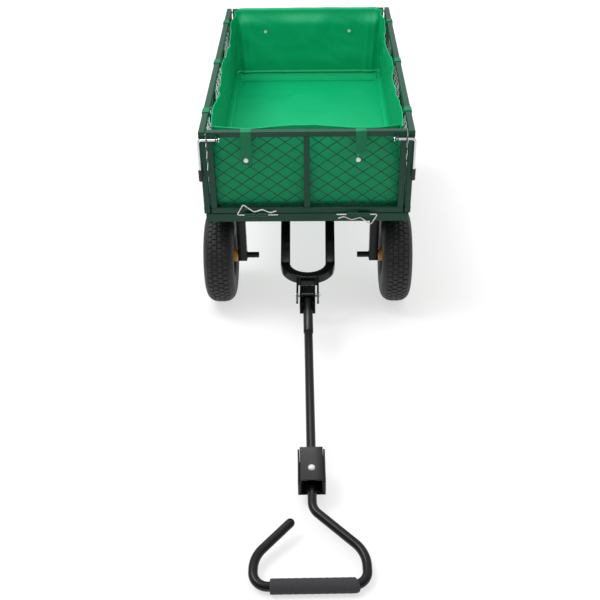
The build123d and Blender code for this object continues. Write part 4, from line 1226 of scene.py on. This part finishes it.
def grip_tube():
    """The bent tube of the grip, from inside the hitch box round to its open end."""
    bm = bmesh.new()
    points = [(0, -0.526, 0), (0, -0.632, 0), (GRIP_RIGHT, -0.7339, 0), (GRIP_RIGHT, -HANDLE_REACH, 0)]
    points += [(GRIP_LEFT, -HANDLE_REACH, 0), (GRIP_LEFT, -0.7413, 0), (-0.0465, -0.6644, 0)]
    path = bent(points, [0.038, 0.068, GRIP_CORNER, GRIP_CORNER, 0.065], 12)
    rod(bm, path, D_TUBE_RADIUS, 28, True)
    piece("grip_tube", bm, "black_paint", "handle", ["d_handle_tube"], HANDLE_PLACE)


def foam_sleeve():
    """The foam on the grip's cross tube, which follows the start of the bend on the right."""
    bm = bmesh.new()
    start, bend = -0.0865, GRIP_RIGHT - GRIP_CORNER
    path = [Vector((start + (bend - start) * i / 36, -HANDLE_REACH, 0)) for i in range(37)]
    for i in range(1, 8):
        a = math.radians(3 * i)
        rise = GRIP_CORNER * (1 - math.cos(a))
        path.append(Vector((bend + GRIP_CORNER * math.sin(a), -HANDLE_REACH + rise, 0)))
    sizes = [1 - 0.012 * (1 + math.cos(i * 1.9)) for i in range(len(path))]
    for i, size in enumerate((0.66, 0.86, 0.95, 0.99)):
        sizes[i] = sizes[-1 - i] = size
    path[:4] = [path[0] + X_AXIS * d for d in (0, 0.0004, 0.0014, 0.0030)]
    swept(bm, path, circle(GRIP_RADIUS, 40), sizes=sizes)
    made = piece("foam_sleeve", bm, "black_foam", "handle", ["foam_grip"], HANDLE_PLACE)


build_deck()
for end_name in ("front", "rear"):
    build_end(end_name)
for side_name in ("left", "right"):
    build_side(side_name)
for corner_name in CORNERS:
    latch(corner_name)
build_clips()
build_liner()
for end_name, axle_y, bottom, axle_body in (
    ("front", FRONT_AXLE_Y, FRONT_BEAM_BOTTOM, "front_axle"),
    ("rear", REAR_AXLE_Y, REAR_BEAM_BOTTOM, "chassis"),
):
    axle_tubes(end_name, axle_y, bottom, axle_body)
    stub_shafts(end_name, axle_y, axle_body)
    retainers(end_name, axle_y, axle_body)
    for side_name, out in (("left", -1), ("right", 1)):
        wheel = f"{end_name}_{side_name}"
        hub_centre = Vector((out * TRACK_HALF, axle_y, WHEEL_Z))
        tyre(wheel, f"{wheel}_wheel", hub_centre)
        rim(wheel, f"{wheel}_wheel", hub_centre, out)
        valve(wheel, f"{wheel}_wheel", hub_centre, out)
        bearings(wheel, f"{wheel}_wheel", hub_centre, out)
build_turntable()
drawbar_tube()
drawbar_ears()
hinge_bolt()
hinge_channel()
pole_tube()
hitch_box_top()
hitch_box_base()
hitch_box_bolt()
grip_tube()
foam_sleeve()


# ---- Floor, light and camera --------------------------------------------------------------------
def lamp(name, kind, energy, aim, **settings):
    """A light that shines along aim."""
    light = bpy.data.lights.new(name, kind)
    light.energy = energy
    for key, value in settings.items():
        setattr(light, key, value)
    made = placed(name, light)
    made.rotation_mode = "QUATERNION"
    made.rotation_quaternion = Vector(aim).to_track_quat("-Z", "Y")
    return made


def build_studio():
    """A pale floor that glows with painted light, a soft sun from the upper left, a lamp over the liner,
    and a dome dim in front.
    """
    bm = bmesh.new()
    bmesh.ops.create_grid(bm, x_segments=8, y_segments=8, size=30)
    mesh = bpy.data.meshes.new("studio_floor")
    bm.to_mesh(mesh)
    bm.free()
    glowing_paper = surface("glowing_paper", (168, 168, 168), (164, 164, 164), 0.9, patch=2, relief=0.00002)
    # Painted glow: the floor gives off light of its own, which lightens the cart's cast shadows and lights
    # the cart from below.
    glow = glowing_paper.node_tree.nodes["Principled BSDF"]
    glow.inputs["Emission Color"].default_value = (1, 1, 1, 1)
    glow.inputs["Emission Strength"].default_value = 0.62
    mesh.materials.append(glowing_paper)
    placed("studio_floor", mesh)
    lamp("key", "SUN", 1.15, (0.50, -0.10, -1), angle=math.radians(24))
    panel = lamp("top_panel", "AREA", 9, (0.12, 0.78, -0.80), size=0.7)
    panel.location = (-0.15, 0.06, 1.30)
    world = bpy.data.worlds.new("dome")
    world.use_nodes = True
    tree = world.node_tree
    sky = tree.nodes["Background"]
    where = node(tree, "ShaderNodeTexCoord")
    split = node(tree, "ShaderNodeSeparateXYZ")
    tree.links.new(where.outputs["Generated"], split.inputs["Vector"])
    level = ranged(tree, split.outputs["Z"], 0, 1, 0.35, 1.35)
    ahead = ranged(tree, split.outputs["Y"], -0.9, 0.1, 0.3, 1)
    both = node(tree, "ShaderNodeMath", operation="MULTIPLY")
    tree.links.new(level, both.inputs[0])
    tree.links.new(ahead, both.inputs[1])
    tree.links.new(both.outputs["Value"], sky.inputs["Strength"])
    sky.inputs["Color"].default_value = (1, 1, 1, 1)
    bpy.context.scene.world = world
    bpy.context.scene.view_settings.view_transform = "Standard"


def build_camera():
    """The camera, in front of the cart and looking down on it."""
    data = bpy.data.cameras.new("camera")
    data.lens = 54.72
    data.sensor_width = 36
    made = placed("camera", data)
    pitch, yaw, roll = math.radians(35.41), 0.020, -0.016
    turned = Matrix.Rotation(yaw, 3, "Z") @ Matrix.Rotation(-pitch, 3, "X")
    forward, right, up = turned @ Y_AXIS, turned @ X_AXIS, turned @ Z_AXIS
    tilted_right = right * math.cos(roll) + up * math.sin(roll)
    tilted_up = up * math.cos(roll) - right * math.sin(roll)
    pose = Matrix((tilted_right, tilted_up, -forward)).transposed().to_4x4()
    pose.translation = (0.0186, -2.0533, 1.4983)
    made.matrix_world = pose
    bpy.context.scene.camera = made


build_studio()
build_camera()
